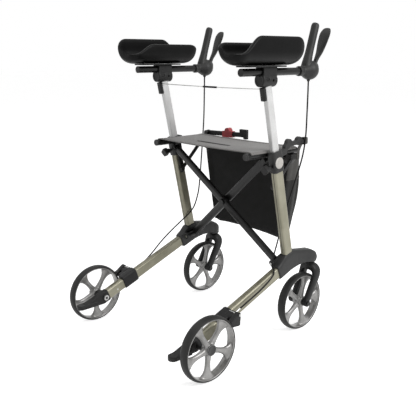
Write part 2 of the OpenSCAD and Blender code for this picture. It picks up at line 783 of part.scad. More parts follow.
// Seat rail with closed ends, the lug for the brace hinge and the hinge screw
module seat_rail(side) {
  lug_w = brace_w + (side > 0 ? -brace_gap / 2 + 0.5 : layer + brace_t / 2 + 0.5);
  head_w = brace_w + (side > 0 ? -layer - brace_t / 2 - 0.5 : brace_gap / 2 - 0.5);
  color(black) difference() {
    union() {
      x_cylinder(rail_x0, rail_x1, rail_y, rail_z, rail_d);
      on_upright() {
        x_cylinder(lug_w, lug_w + lug_t, top_y, top_u, eye_d + 2);
        translate([lug_w, top_y - eye_d / 2, top_u]) cube([lug_t, eye_d + 4, 20]);
      }
      if (side > 0) lock_lug();
    }
    x_cylinder(rail_x0 + 4, rail_x1 - 4, rail_y, rail_z, rail_d - 5);
    on_upright() x_cylinder(lug_w - 1, lug_w + lug_t + 1, top_y, top_u, eye_pin_d);
  }
  color(steel) on_upright() {
    x_cylinder(head_w, lug_w + lug_t + 2, top_y, top_u, eye_pin_d);
    x_cylinder(head_w - 4, head_w, top_y, top_u, 14);
  }
}

// Lug and pin at the front of the left rail, on which the lock bar turns
lock_pin_d = 8;
module lock_lug() {
  x_cylinder(rail_x1 - 8, rail_x1, lock_y, lock_z, 18);
  translate([rail_x1 - 8, lock_y - 9, rail_z]) cube([8, 18, lock_z - rail_z]);
  x_cylinder(rail_x1 - 1, lock_x + lock_t + 3, lock_y, lock_z, lock_pin_d);
  x_cylinder(lock_x + lock_t + slip_gap, lock_x + lock_t + 4, lock_y, lock_z, 13);
}

module brake_cable(route) {
  color(black) swept_cord(curve(route, 4), cable_d, 8);
}

// One brace of the scissor. start is 1 for the brace hinged at the left foot, -1 at the right foot
module brace(start, w) {
  total = lower_arm + upper_arm;
  bore = [brace_t - 2 * tube_wall, brace_b - 2 * tube_wall];
  on_upright() difference() {
    union() {
      translate([w, start * hinge_y, hinge_u]) rotate([start * (90 - brace_angle), 0, 0]) {
        translate([0, 0, 8]) linear_extrude(total - 24) rounded_rect([brace_t, brace_b], brace_t / 2 - 0.5);
        translate([-brace_t / 2, -eye_d / 2, total - 22]) cube([brace_t, eye_d, 22]);
        translate([0, 0, total]) rotate([0, 90, 0]) cylinder(d = eye_d, h = brace_t, center = true);
        translate([0, 0, lower_arm]) rotate([0, 90, 0]) cylinder(d = centre_boss_d, h = brace_t, center = true);
      }
      x_cylinder(brace_w - barrel_back, brace_w + barrel_front, start * hinge_y, hinge_u, barrel_d);
    }
    translate([w, start * hinge_y, hinge_u]) rotate([start * (90 - brace_angle), 0, 0]) {
      for (z = [[20, lower_arm - 22], [lower_arm + 22, total - 30]])
        translate([0, 0, z[0]]) linear_extrude(z[1] - z[0]) rounded_rect(bore, bore.x / 2 - 0.5);
    }
    x_cylinder(brace_w - 60, brace_w + 70, start * hinge_y, hinge_u, pin_d + 2 * run_gap);
    x_cylinder(brace_w - 60, brace_w + 60, -start * top_y, top_u, eye_pin_d + 2 * run_gap);
    if (start < 0) x_cylinder(brace_w - 60, brace_w + 60, 0, cross_u, centre_pin_d + 2 * run_gap);
  }
}
cross_u = hinge_u + lower_arm * sin(brace_angle);

// Brace from the left foot to the right rail, in the front layer, with the centre rivet
module front_brace() {
  color(black) brace(1, brace_w + layer);
  color(black) on_upright() {
    x_cylinder(brace_w - layer - brace_t / 2 - 0.5, brace_w + layer, 0, cross_u, centre_pin_d);
    x_cylinder(brace_w - layer - brace_t / 2 - 5, brace_w - layer - brace_t / 2 - 0.5, 0, cross_u, 22);
  }
}

// Brace from the right foot to the left rail, in the rear layer
module rear_brace() {
  color(black) brace(-1, brace_w - layer);
}

// Seat cloth stretched between the rails and folded over their outer shoulders
module seat() {
  low = rail_r + slip_gap;
  color(seat_grey) difference() {
    forward(seat_x0, seat_len) {
      translate([-rail_y, rail_z + low]) square([2 * rail_y, seat_t]);
      for (s = [-1, 1]) translate([s * rail_y, rail_z]) intersection() {
        difference() {
          circle(low + seat_t);
          circle(low);
        }
        polygon([[0, 0], [s * 30, 15], [s * 30, 40], [0, 40]]);
      }
    }
    translate([seat_x0 + 71, -58, rail_z]) cube([5, 152, 40]);
  }
}

// Open bag: walls around a hollow, narrower at the bottom and fuller in front, hung by a loop on the
// bag arm and a tab at the left cradle
bag_x = cradle_x + cradle_len / 2 + slip_gap;
bag_top = rail_z - 19;
bag_wall = 2.5;
bag_taper = 42;
bag_side = 64;
loop_w = 18;
module bag_post(x, y, z, r, h) {
  for (s = [-1, 1]) translate([bag_x + x, s * y, z]) cylinder(r = r, h = h, $fn = 24);
}
module bag_form(inset) {
  half = bag_w / 2 - inset;
  low = bag_top - bag_h + inset;
  hull() {
    bag_post(3 + inset, half - 3, bag_top - 20, 3, 20 + 4 * inset);
    bag_post(bag_side - 12 - inset, half - 12, bag_top - 20, 12, 20 + 4 * inset);
    bag_post(bag_d - 14 - inset, half - 60, bag_top - 170, 14, 60);
    bag_post(3 + inset, half - bag_taper, low, 3, 4);
    bag_post(bag_side - 20 - inset, half - bag_taper - 12, low, 10, 4);
  }
}
module bag() {
  y = frame_y - arm_t / 2 - slip_gap;
  z = arm_rise - 10 - slip_gap;
  t = bag_wall;
  color(bag_black) {
    difference() {
      bag_form(0);
      bag_form(bag_wall);
    }
    forward(bag_x + 12, loop_w) {
      difference() {
        translate([-frame_y - arm_t / 2 - slip_gap - t, z - t]) square([arm_t + 2 * slip_gap + 2 * t, 20 + 2 * slip_gap + 2 * t]);
        translate([-frame_y - arm_t / 2 - slip_gap, z]) square([arm_t + 2 * slip_gap, 20 + 2 * slip_gap]);
      }
      polygon([[-y - t, z - t], [-y + t, z + t], [-bag_w / 2 + t, bag_top], [-bag_w / 2 + t, bag_top - 16],
        [-bag_w / 2 - 0.5, bag_top - 14]]);
    }
    translate([bag_x, bag_w / 2 - 14, bag_top - 18]) cube([bag_wall, 32, 16]);
  }
}

// Moulded arm with humps, forward from the right collar, on which the bag hangs
arm_t = 14;
arm_reach = 96;
arm_rise = foot_z + 365;
module bag_arm() {
  x = upright_x - 25;
  z = arm_rise;
  color(black) {
    across(frame_y, arm_t) {
      polygon([[x - 2, z - 30], [x + 22, z - 11], [x + arm_reach, z - 6], [x + arm_reach, z + 7], [x + 4, z + 2], [x - 6, z - 10]]);
      translate([x + 16, z]) circle(13);
      translate([x + 66, z + 2]) circle(14);
      translate([x + arm_reach, z + 0.5]) circle(9.5);
    }
    on_upright() translate([boss_w, frame_y - arm_t / 2, boss_u]) cube([14, arm_t, boss_h]);
  }
}

// Bar in front of the seat that locks the open frame, hinged on the left rail
module lock_bar() {
  color(black) difference() {
    forward(lock_x + slip_gap, lock_t - slip_gap) {
      translate([lock_y, lock_z]) circle(d = 20);
      polygon([[lock_y, lock_z - 9], [lock_y, lock_z + 8], [lock_end_y + 30, lock_z + 14],
        [lock_end_y + 30, lock_z - 2]]);
      translate([lock_end_y, lock_z - 8]) square([36, 34]);
    }
    x_cylinder(lock_x - 5, lock_x + 40, lock_y, lock_z, lock_pin_d + 2 * run_gap);
  }
}

// Red finger grip that slides along the lock bar
module lock_release() {
  slope = atan2(6, lock_y - lock_end_y - 30);
  color(red) difference() {
    translate([lock_x - 3, release_y, lock_z + 3]) rotate([-slope, 0, 0]) rotate([90, 0, 90])
      linear_extrude(lock_t + 6) {
        square([release_len, 22], center = true);
        translate([0, 11]) circle(12);
      }
    forward(lock_x, lock_t + slip_gap) polygon([[lock_y, lock_z - 9 - slip_gap], [lock_y, lock_z + 8 + slip_gap],
      [lock_end_y + 30, lock_z + 14 + slip_gap], [lock_end_y + 30, lock_z - 2 - slip_gap]]);
  }
}

// Steel wire between the two height tubes with a black sleeve in its middle
module tie_wire() {
  color(steel) on_upright() translate([wire_w, 0, wire_u]) rotate([-90, 0, 0]) {
    cylinder(d = wire_d, h = 2 * (frame_y - mast_t / 2 + 3), center = true);
    translate([0, 0, sleeve_y]) cylinder(d = 6, h = 76, center = true);
  }
}

placed(1) casting();  // left_casting
placed(1) upright();  // left_upright
placed(1) lower_tube();  // left_lower_tube
placed(1) collar();  // left_collar
placed(1) clamp_knob();  // left_clamp_knob
placed(1) tip_pedal();  // left_tip_pedal
placed(1) brake_sleeve();  // left_brake_sleeve
placed(1) brake_arm();  // left_brake_arm
placed(1) frame_pins();  // left_frame_pins
placed(1) seat_strut();  // left_seat_strut
placed(1) height_tube();  // left_height_tube
placed(1) wire_clip();  // left_wire_clip
placed(1) arm_head();  // left_arm_head
placed(1) arm_tube();  // left_arm_tube
placed(1) arm_plate();  // left_arm_plate
placed(1) arm_pad();  // left_arm_pad
placed(1) handle();  // left_handle
placed(1) brake_lever();  // left_brake_lever
placed(1) on_rear_axle() tyre();  // left_rear_tyre
placed(1) on_rear_axle() rim(hub_in, hub_out, axle_d + 2 * run_gap);  // left_rear_rim
placed(1) caster_fork();  // left_caster_fork
placed(1) on_caster_axle() tyre();  // left_caster_tyre
placed(1) on_caster_axle() rim(caster_hub, caster_hub, caster_axle_d + 2 * run_gap);  // left_caster_rim
placed(1) caster_axle();  // left_caster_axle
placed(1) seat_rail(1);  // left_seat_rail
placed(1) brake_cable(left_cable_route);  // left_brake_cable
placed(-1) casting();  // right_casting
placed(-1) upright();  // right_upright
placed(-1) lower_tube();  // right_lower_tube
placed(-1) collar();  // right_collar
placed(-1) clamp_knob();  // right_clamp_knob
placed(-1) tip_pedal();  // right_tip_pedal
placed(-1) brake_sleeve();  // right_brake_sleeve
placed(-1) brake_arm();  // right_brake_arm
placed(-1) frame_pins();  // right_frame_pins
placed(-1) seat_strut();  // right_seat_strut
placed(-1) height_tube();  // right_height_tube
placed(-1) wire_clip();  // right_wire_clip
placed(-1) arm_head();  // right_arm_head
placed(-1) arm_tube();  // right_arm_tube
placed(-1) arm_plate();  // right_arm_plate
translate([2 * (x_shift + pad_x), 0, 0]) rotate([0, 0, 180]) placed(1) arm_pad();  // right_arm_pad
placed(-1) handle();  // right_handle
placed(-1) brake_lever();  // right_brake_lever
placed(-1) on_rear_axle() tyre();  // right_rear_tyre
placed(-1) on_rear_axle() rim(hub_in, hub_out, axle_d + 2 * run_gap);  // right_rear_rim
placed(-1) caster_fork();  // right_caster_fork
placed(-1) on_caster_axle() tyre();  // right_caster_tyre
placed(-1) on_caster_axle() rim(caster_hub, caster_hub, caster_axle_d + 2 * run_gap);  // right_caster_rim
placed(-1) caster_axle();  // right_caster_axle
placed(-1) seat_rail(-1);  // right_seat_rail
placed(-1) brake_cable(right_cable_route);  // right_brake_cable
placed(1) front_brace();
placed(1) rear_brace();
placed(1) seat();
placed(1) bag();
placed(-1) bag_arm();
placed(1) lock_bar();
placed(1) lock_release();
placed(1) tie_wire();
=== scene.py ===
import math

import bmesh
import bpy
from mathutils import Matrix, Vector


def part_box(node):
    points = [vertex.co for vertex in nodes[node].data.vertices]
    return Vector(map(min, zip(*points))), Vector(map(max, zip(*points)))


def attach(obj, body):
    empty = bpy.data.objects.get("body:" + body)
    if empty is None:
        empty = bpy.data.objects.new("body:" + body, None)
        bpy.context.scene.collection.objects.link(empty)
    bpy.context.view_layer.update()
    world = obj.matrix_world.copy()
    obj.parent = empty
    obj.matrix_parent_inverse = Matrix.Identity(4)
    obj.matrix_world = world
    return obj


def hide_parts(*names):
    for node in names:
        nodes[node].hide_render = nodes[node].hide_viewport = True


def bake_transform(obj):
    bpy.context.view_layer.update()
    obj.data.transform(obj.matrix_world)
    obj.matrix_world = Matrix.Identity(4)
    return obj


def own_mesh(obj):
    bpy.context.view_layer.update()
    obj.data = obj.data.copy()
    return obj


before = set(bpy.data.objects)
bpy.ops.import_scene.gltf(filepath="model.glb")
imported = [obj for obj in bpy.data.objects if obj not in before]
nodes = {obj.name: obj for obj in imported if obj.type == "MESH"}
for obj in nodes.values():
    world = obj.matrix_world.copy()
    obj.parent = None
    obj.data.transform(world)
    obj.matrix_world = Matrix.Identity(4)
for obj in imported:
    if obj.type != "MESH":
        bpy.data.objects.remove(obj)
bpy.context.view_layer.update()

# Side frame tubes. Upright and lower tube are extruded aluminium, blasted and anodised champagne.
# The die leaves faint lines along each tube, and the anodised skin has a soft metallic sheen.
SIDES = (("left", 1), ("right", -1))
mm = 0.001
LEAN = math.radians(12)
LOWER_SLOPE = math.radians(20.3)


def linear(code):
    """sRGB hex code to linear colour."""
    parts = [int(code[i:i + 2], 16) / 255 for i in (0, 2, 4)]
    return [p / 12.92 if p <= 0.04045 else ((p + 0.055) / 1.055) ** 2.4 for p in parts] + [1]


def add(tree, kind, inputs=None, **settings):
    """Adds one shader node with its settings, socket values and links."""
    made = tree.nodes.new("ShaderNode" + kind)
    for name, value in settings.items():
        setattr(made, name, value)
    for socket, value in (inputs or {}).items():
        if isinstance(value, bpy.types.NodeSocket):
            tree.links.new(value, made.inputs[socket])
        else:
            made.inputs[socket].default_value = value
    return made


def start_finish(name, sockets):
    """New material whose constant values sit on the shader's own sockets."""
    skin = bpy.data.materials.new(name)
    skin.use_nodes = True
    shader = skin.node_tree.nodes["Principled BSDF"]
    for socket, value in sockets.items():
        shader.inputs[socket].default_value = value
    return skin, skin.node_tree, shader


def toned(tree, shader, mix, span, dark, light, gloss, rough):
    """Colour between two hex codes where one pattern runs over a span, and roughness by another."""
    tone = add(tree, "MapRange", {"Value": mix, "From Min": span[0], "From Max": span[1]}).outputs[0]
    mixed = add(tree, "Mix", {0: tone, 6: linear(dark), 7: linear(light)}, data_type="RGBA").outputs[2]
    tree.links.new(mixed, shader.inputs["Base Color"])
    worn = add(tree, "MapRange", {"Value": gloss, "From Min": 0.3, "From Max": 0.7,
                                  "To Min": rough[0], "To Max": rough[1]}).outputs[0]
    tree.links.new(worn, shader.inputs["Roughness"])


def drawn_metal(name, dark, light, turn, streak, rough, sockets):
    """Metal with fine lines along the way it was drawn; streak is a line's size on each axis in mm."""
    skin, tree, shader = start_finish(name, sockets)
    place = add(tree, "TexCoord").outputs["Object"]
    along = add(tree, "Mapping", {"Vector": place, "Rotation": (0, turn, 0),
                                  "Scale": [s * mm for s in streak]}, vector_type="TEXTURE").outputs[0]
    lines = add(tree, "TexNoise", {"Vector": along, "Scale": 1.0, "Detail": 4.0, "Roughness": 0.6}).outputs[0]
    cloud = add(tree, "TexNoise", {"Vector": place, "Scale": 1 / (60 * mm), "Detail": 2.0}).outputs[0]
    both = add(tree, "Math", {0: lines, 1: cloud}, operation="MULTIPLY").outputs[0]
    toned(tree, shader, both, (0.12, 0.4), dark, light, lines, rough)
    bump = add(tree, "Bump", {"Height": lines, "Strength": 0.12, "Distance": 0.1 * mm}).outputs[0]
    tree.links.new(bump, shader.inputs["Normal"])
    return skin


def paint(skin, *names):
    """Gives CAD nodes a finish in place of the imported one."""
    for name in names:
        slots = nodes[name].data.materials
        slots.clear()
        slots.append(skin)


# Champagne: lines 0.5 mm wide and 90 mm long, drawn a little coarser than the die leaves them.
CHAMPAGNE = ("787563", "959281")
champagne_upright = drawn_metal("anodised_champagne_upright", *CHAMPAGNE, -LEAN, (0.5, 0.5, 90),
                                (0.3, 0.42), {"Metallic": 0.4})
champagne_lower = drawn_metal("anodised_champagne_lower", *CHAMPAGNE, -LOWER_SLOPE, (90, 0.5, 0.5),
                              (0.3, 0.42), {"Metallic": 0.4})
for side, way in SIDES:
    paint(champagne_upright, side + "_upright")
    paint(champagne_lower, side + "_lower_tube")


# Castings, collars and other black mouldings. They are glass-filled nylon, moulded in a spark-eroded
# tool, so the skin is a fine satin grain that turns dark grey where light grazes it.
def moulded(name, dark, light, grain, depth, rough, edge, sockets):
    """Moulded skin: grain and depth in mm, roughness range, and the rounding of its edges in mm."""
    skin, tree, shader = start_finish(name, sockets)
    place = add(tree, "TexCoord").outputs["Object"]
    cloud = add(tree, "TexNoise", {"Vector": place, "Scale": 1 / (35 * mm), "Detail": 3.0}).outputs[0]
    pits = add(tree, "TexNoise", {"Vector": place, "Scale": 1 / (grain * mm), "Detail": 2.0}).outputs[0]
    toned(tree, shader, cloud, (0.3, 0.7), dark, light, pits, rough)
    bump = add(tree, "Bump", {"Height": pits, "Strength": 0.35, "Distance": depth * mm})
    if edge:
        soft = add(tree, "Bevel", {"Radius": edge * mm}, samples=6).outputs[0]
        tree.links.new(soft, bump.inputs["Normal"])
    tree.links.new(bump.outputs[0], shader.inputs["Normal"])
    return skin


def finished(name, mesh, skin, body):
    """Puts a mesh in the scene as a smooth piece with a finish, riding on a body unless that is None."""
    made = bpy.data.objects.new(name, mesh)
    bpy.context.scene.collection.objects.link(made)
    mesh.materials.clear()
    mesh.materials.append(skin)
    for face in mesh.polygons:
        face.use_smooth = True
    if body:
        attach(made, body)
    return made


def curved(points, steps):
    """Smooth curve through points, as the CAD draws it."""
    points = [Vector(p) for p in points]
    end = len(points) - 1
    line = []
    for i in range(end):
        a, b, c, d = points[max(i - 1, 0)], points[i], points[i + 1], points[min(i + 2, end)]
        bend, twist = 2 * a - 5 * b + 4 * c - d, 3 * b - a - 3 * c + d
        for k in range(steps):
            t = k / steps
            line.append(0.5 * (2 * b + (c - a) * t + bend * t ** 2 + twist * t ** 3))
    return line + [points[end]]


def loft(shape, sections, hollow=False):
    """Adds a closed body through rings of points in mm; a hollow one runs back to its first ring."""
    rings = [[shape.verts.new(Vector(p) * mm) for p in ring] for ring in sections]
    for low, high in zip(rings, rings[1:] + (rings[:1] if hollow else [])):
        for k in range(len(low)):
            shape.faces.new((low[k - 1], low[k], high[k], high[k - 1]))
    if not hollow:
        shape.faces.new(rings[0])
        shape.faces.new(rings[-1][::-1])


def moulding_of(shape, node, inside):
    """Adds the part of a CAD node that lies on the inner side of a plane across Y, given in mm."""
    part = bmesh.new()
    part.from_mesh(nodes[node].data)
    bmesh.ops.remove_doubles(part, verts=part.verts, dist=0.005 * mm)
    if inside:
        every = part.verts[:] + part.edges[:] + part.faces[:]
        cut = bmesh.ops.bisect_plane(part, geom=every, dist=0.005 * mm, plane_co=(0, inside * mm, 0),
                                     plane_no=(0, math.copysign(1, inside), 0), clear_outer=True)
        bmesh.ops.holes_fill(part, edges=[e for e in cut["geom_cut"] if isinstance(e, bmesh.types.BMEdge)])
    mesh = bpy.data.meshes.new(node)
    part.to_mesh(mesh)
    part.free()
    shape.from_mesh(mesh)
    bpy.data.meshes.remove(mesh)


def fused(name, shape, voxel, rounds, skin, body):
    """Blends overlapping solids into one moulded skin: voxel in mm, then rounds of smoothing."""
    bmesh.ops.recalc_face_normals(shape, faces=shape.faces)
    mesh = bpy.data.meshes.new(name)
    shape.to_mesh(mesh)
    shape.free()
    rough_cut = bpy.data.objects.new(name + "_cut", mesh)
    bpy.context.scene.collection.objects.link(rough_cut)
    cells = rough_cut.modifiers.new("cells", "REMESH")
    cells.mode = "VOXEL"
    cells.voxel_size = voxel * mm
    flow = rough_cut.modifiers.new("flow", "SMOOTH")
    flow.iterations = rounds
    done = bpy.data.meshes.new_from_object(rough_cut.evaluated_get(bpy.context.evaluated_depsgraph_get()))
    bpy.data.objects.remove(rough_cut)
    return finished(name, done, skin, body)


def softened(node, voxel, rounds, skin, body):
    """Moulded copy of a CAD node with its edges rounded, in place of the node."""
    shape = bmesh.new()
    moulding_of(shape, node, None)
    made = fused(node + "_moulding", shape, voxel, rounds, skin, body)
    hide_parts(node)


def oval(middle, across, up, half_across, half_up, power, sides=32):
    """Ring of points on a rounded rectangle; a higher power gives squarer corners."""
    ring = []
    for k in range(sides):
        a = 2 * math.pi * k / sides
        c, d = (math.copysign(abs(v) ** (2 / power), v) for v in (math.cos(a), math.sin(a)))
        ring.append(Vector(middle) + Vector(across) * half_across * c + Vector(up) * half_up * d)
    return ring


# Grains here and below are drawn 0.5 to 2.6 mm wide, coarser than the tool leaves them, so that they show.
nylon = moulded("glass_filled_nylon", "1a1a1a", "232323", 1.4, 0.12, (0.4, 0.55), 0,
                {"IOR": 1.53, "Specular IOR Level": 0.3})
# Smaller mouldings are a deeper black than the castings and collars.
black_nylon = moulded("black_glass_filled_nylon", "0d0d0d", "151515", 1.4, 0.12, (0.4, 0.55), 0,
                      {"IOR": 1.53, "Specular IOR Level": 0.24})
FRAME_Y = 244
# Inside this plane the casting keeps the hinge ears of the CAD node.
EARS_Y = 228
# Corner casting in mm, from the lower socket to the nose: foot and crown (x, z) of each section, half width.
CASTING = [((123.5, 209.5), (106.5, 254.5), 17), ((141, 215), (125, 268), 17), ((158, 221), (143, 287), 17),
           ((180, 229), (181, 298), 17), ((203, 234.5), (207, 294), 17), ((222, 238), (230, 290), 18),
           ((240, 239), (255, 286), 20), ((257, 237), (279, 281.5), 23), ((274, 234), (297, 272), 25),
           ((291, 232.5), (304, 256), 24), ((302, 232.3), (307, 241), 16)]
for side, way in SIDES:
    sections = []
    for (x0, z0), (x1, z1), half in CASTING:
        up = Vector((x1 - x0, 0, z1 - z0))
        middle = ((x0 + x1) / 2, FRAME_Y * way, (z0 + z1) / 2)
        sections.append(oval(middle, (0, 1, 0), up.normalized(), half, up.length / 2, 4.5))
    shape = bmesh.new()
    loft(shape, sections)
    moulding_of(shape, side + "_casting", EARS_Y * way)
    casting = fused(side + "_corner_moulding", shape, 1.8, 8, nylon, side + "_frame")
    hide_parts(side + "_casting")
    softened(side + "_collar", 1.4, 4, nylon, side + "_frame")
    for part, body in (("clamp_knob", "knob"), ("tip_pedal", "frame"), ("seat_strut", "frame"),
                       ("wire_clip", "support"), ("arm_head", "support")):
        softened(side + "_" + part, 1.4, 4, black_nylon, side + "_" + body)
    paint(black_nylon, side + "_arm_plate")

# Grooves of the frame tubes. The die leaves a narrow groove along the rear of each upright and the top of
# each lower tube; a dark strip on its floor is painted shade, so that the groove reads as a line.
painted_groove_shade = drawn_metal("painted_groove_shade_aluminium", "2c2a22", "3a382e", 0, (2, 2, 2), (0.5, 0.6),
                         {"Metallic": 0.2})
REAR_X, WHEEL_R = -235, 100
GROOVE_HALF, GROOVE_FLOOR, GROOVE_THICK = 1.1, 0.35, 0.4


def made_of(name, shape, skin, body):
    """Turns a mesh being built into a piece with a finish, riding on a body."""
    bmesh.ops.recalc_face_normals(shape, faces=shape.faces)
    mesh = bpy.data.meshes.new(name)
    shape.to_mesh(mesh)
    shape.free()
    return finished(name, mesh, skin, body)


# Each tube: foot (x, z) of its middle line, slope, half depth, and the groove's start and end along it.
GROOVED = (("upright", (165, 290), math.pi / 2 + LEAN, 18.5, 4, 300),
           ("lower", (REAR_X, WHEEL_R), LOWER_SLOPE, 19, 35, 395))
for side, way in SIDES:
    for tube_name, (foot_x, foot_z), slope, deep, start, end in GROOVED:
        run = Vector((math.cos(slope), 0, math.sin(slope)))
        out = Vector((-math.sin(slope), 0, math.cos(slope)))
        rings = []
        for along in (start, end):
            spot = Vector((foot_x, FRAME_Y * way, foot_z)) + run * along + out * (deep - GROOVE_FLOOR)
            rings.append([spot + Vector((0, y, 0)) + out * h
                          for y, h in ((-GROOVE_HALF, 0), (GROOVE_HALF, 0),
                                       (GROOVE_HALF, -GROOVE_THICK), (-GROOVE_HALF, -GROOVE_THICK))])
        shape = bmesh.new()
        loft(shape, rings)
        # The dark strip on the groove's floor is painted shade.
        groove = made_of(f"{side}_{tube_name}_groove", shape, painted_groove_shade, side + "_frame")

# Caster forks. Each is one nylon moulding: an arch under the nose whose two broad legs bulge forward and
# then lean back to the axle.
STEM_X, CASTER_X, LEG_Y = 287, 241, 28
# Half of the arch in mm from the axle to the crown: place from the stem, half width and half thickness.
ARCH = [((CASTER_X - STEM_X, LEG_Y, WHEEL_R), (12, 9.5)), ((-31, LEG_Y, 126), (12.5, 9.5)),
        ((-14, LEG_Y, 155), (14, 9.5)), ((1, LEG_Y, 180), (16, 9.5)), ((7, 27, 198), (17.5, 10)),
        ((6, 21, 211), (18, 12)), ((3, 10, 217), (17, 14)), ((1, 0, 217.6), (16, 14))]
SHOULDER_Z = 195
AXLE_BOSS_R, STEM_BOSS_R, STEM_BOSS_Z, BOSS_LONG = 12.6, 15, 221.6, 20
ALONG_Y = Matrix.Rotation(math.pi / 2, 4, "X")


def rod(shape, where, long, foot_r, top_r, sides=40):
    """Adds a round rod or cone, sizes in mm; a matrix gives its middle and the way it points."""
    bmesh.ops.create_cone(shape, cap_ends=True, segments=sides, radius1=foot_r * mm, radius2=top_r * mm,
                          depth=long * mm, matrix=where)


def at(x, y, z):
    """Matrix for a place in mm."""
    return Matrix.Translation(Vector((x, y, z)) * mm)


for side, way in SIDES:
    arch = ARCH + [((x, -y, z), size) for (x, y, z), size in ARCH[-2::-1]]
    line = curved([place for place, size in arch], 4)
    sizes = curved([(wide, thick, 0) for place, (wide, thick) in arch], 4)
    sections = []
    for i, (spot, size) in enumerate(zip(line, sizes)):
        run = (line[min(i + 1, len(line) - 1)] - line[max(i - 1, 0)]).normalized()
        out = Vector((0, spot.y, max(0, spot.z - SHOULDER_Z)))
        out = (out - run * out.dot(run)).normalized()
        middle = spot + Vector((STEM_X, FRAME_Y * way, 0))
        sections.append(oval(middle, run.cross(out), out, size.x, size.y, 2.8))
    shape = bmesh.new()
    loft(shape, sections)
    for leg in (-1, 1):
        boss_at = at(CASTER_X, FRAME_Y * way + leg * LEG_Y, WHEEL_R)
        rod(shape, boss_at @ ALONG_Y, BOSS_LONG, AXLE_BOSS_R, AXLE_BOSS_R)
    rod(shape, at(STEM_X, FRAME_Y * way, STEM_BOSS_Z), BOSS_LONG, STEM_BOSS_R, STEM_BOSS_R)
    fork = fused(side + "_fork_moulding", shape, 1.6, 5, black_nylon, side + "_fork")
    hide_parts(side + "_caster_fork")

# Brakes. A nylon sleeve on each lower tube has a housing toward the wheel for the arm's pivot and the cable
# adjuster; the arm is a thick moulded plate whose hollowed shoe presses on the tyre.
SLEEVE_FROM, SLEEVE_TO, SLEEVE_LIFT = 85, 147, 3
SLEEVE_WIDE, SLEEVE_HIGH, BORE_WIDE, BORE_HIGH = 16, 24, 12.3, 19.3
# Rounded ends of the sleeve: distance from the end, and how much smaller the section is there.
SLEEVE_ENDS = ((0, 1.6), (2, 0.3), (6, 0))
# Housing of the pivot and of the adjuster: place along and above the tube, half length, half height, and
# each section's y with how much smaller it is.
HOUSINGS = ((131, 11, 16.5, 16, ((258, 0), (279, 0), (283.5, 1), (285.6, 3))),
            (112, 10, 19, 14.5, ((258, 0), (271, 0), (275, 3))))
# Pivot and outline of the arm are measured from the rear axle.
PIVOT_X, PIVOT_Z, PIVOT_R, SHOE_R = 122, 70, 6.8, 101.8
ARM_NECK, ARM_FRONT = [(95, 60)], [(127, 50), (126, 36), (119, 35)]
ARM_IN, ARM_OUT = 286, 302


def spread(start, end, many):
    """Even steps from start to end, both kept."""
    return [start + (end - start) * i / many for i in range(many + 1)]


def on_lower(along, y, up):
    """Place in mm along and above the middle line of a lower tube, which starts at the rear axle."""
    x = along * math.cos(LOWER_SLOPE) - up * math.sin(LOWER_SLOPE)
    return Vector((x + REAR_X, y, along * math.sin(LOWER_SLOPE) + up * math.cos(LOWER_SLOPE) + WHEEL_R))


def arc(middle_x, middle_z, radius, start, end):
    """Points (x, z) round a middle, from one angle to another in degrees."""
    return [(middle_x + radius * math.cos(a), middle_z + radius * math.sin(a))
            for a in spread(math.radians(start), math.radians(end), 8)]


for side, way in SIDES:
    across, up = Vector((0, 1, 0)), on_lower(0, 0, 1) - on_lower(0, 0, 0)
    run = on_lower(1, 0, 0) - on_lower(0, 0, 0)
    ends = [(SLEEVE_FROM + s, shy) for s, shy in SLEEVE_ENDS]
    ends += [(SLEEVE_TO - s, shy) for s, shy in reversed(SLEEVE_ENDS)]
    outer = [oval(on_lower(s, FRAME_Y * way, SLEEVE_LIFT), across, up, SLEEVE_WIDE - shy,
                  SLEEVE_HIGH - shy, 5, 48) for s, shy in ends]
    bore = [oval(on_lower(s, FRAME_Y * way, 0), across, up, BORE_WIDE, BORE_HIGH, 8, 48)
            for s in (SLEEVE_TO, SLEEVE_FROM)]
    shape = bmesh.new()
    loft(shape, outer + bore, True)
    for along, above, half_long, half_high, steps in HOUSINGS:
        loft(shape, [oval(on_lower(along, y * way, above), run, up, half_long - shy, half_high - shy, 4)
                     for y, shy in steps])
    sleeve = fused(side + "_brake_sleeve_moulding", shape, 1.3, 4, black_nylon, side + "_frame")
    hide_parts(side + "_brake_sleeve")

    outline = arc(0, 0, SHOE_R, 22, 33) + ARM_NECK + arc(PIVOT_X, PIVOT_Z, PIVOT_R, 115, 0) + ARM_FRONT
    shape = bmesh.new()
    loft(shape, [[(x + REAR_X, y * way, z + WHEEL_R) for x, z in outline] for y in (ARM_IN, ARM_OUT)])
    arm = fused(side + "_brake_arm_moulding", shape, 1.3, 4, black_nylon, side + "_brake")
    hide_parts(side + "_brake_arm")

# Axles, hinge pins and cable adjusters. They are turned steel, zinc plated, bright with fine turning
# marks across them, drawn 0.4 mm wide so that they show. The caster axles are blackened.
zinc = drawn_metal("zinc_plated_steel", "8f8f8e", "c4c4c2", 0, (6, 0.4, 6), (0.2, 0.34), {"Metallic": 1.0})
black_zinc = drawn_metal("black_zinc_plated_steel", "1c1c1c", "2c2c2c", 0, (6, 0.4, 6), (0.34, 0.46),
                         {"Metallic": 0.6})
for side, way in SIDES:
    paint(zinc, side + "_frame_pins")
    paint(black_zinc, side + "_caster_axle")

# Wheels. The tyre is a soft thermoplastic rubber ring moulded onto a spoked nylon rim, which is painted
# a satin silver grey. Five trumpet-shaped spokes run from the hub into the barrel.
tyre_rubber = moulded("tpe_tyre", "212121", "2b2b2a", 2.0, 0.15, (0.5, 0.66), 0,
                      {"IOR": 1.5, "Specular IOR Level": 0.25})
rim_paint = moulded("painted_nylon_rim", "787775", "9a9998", 0.8, 0.03, (0.26, 0.36), 0, {"Metallic": 0.5})
RIM_R, TYRE_HALF, TYRE_SEAT, CROWN_DROP = 93, 16, 93.4, 5.4
AXLE_R, HUB_R, HUB_ROUND, HUB_SHY = 4.2, 17, 1.5, 0.2
SPOKES, FIRST_SPOKE = 5, 75
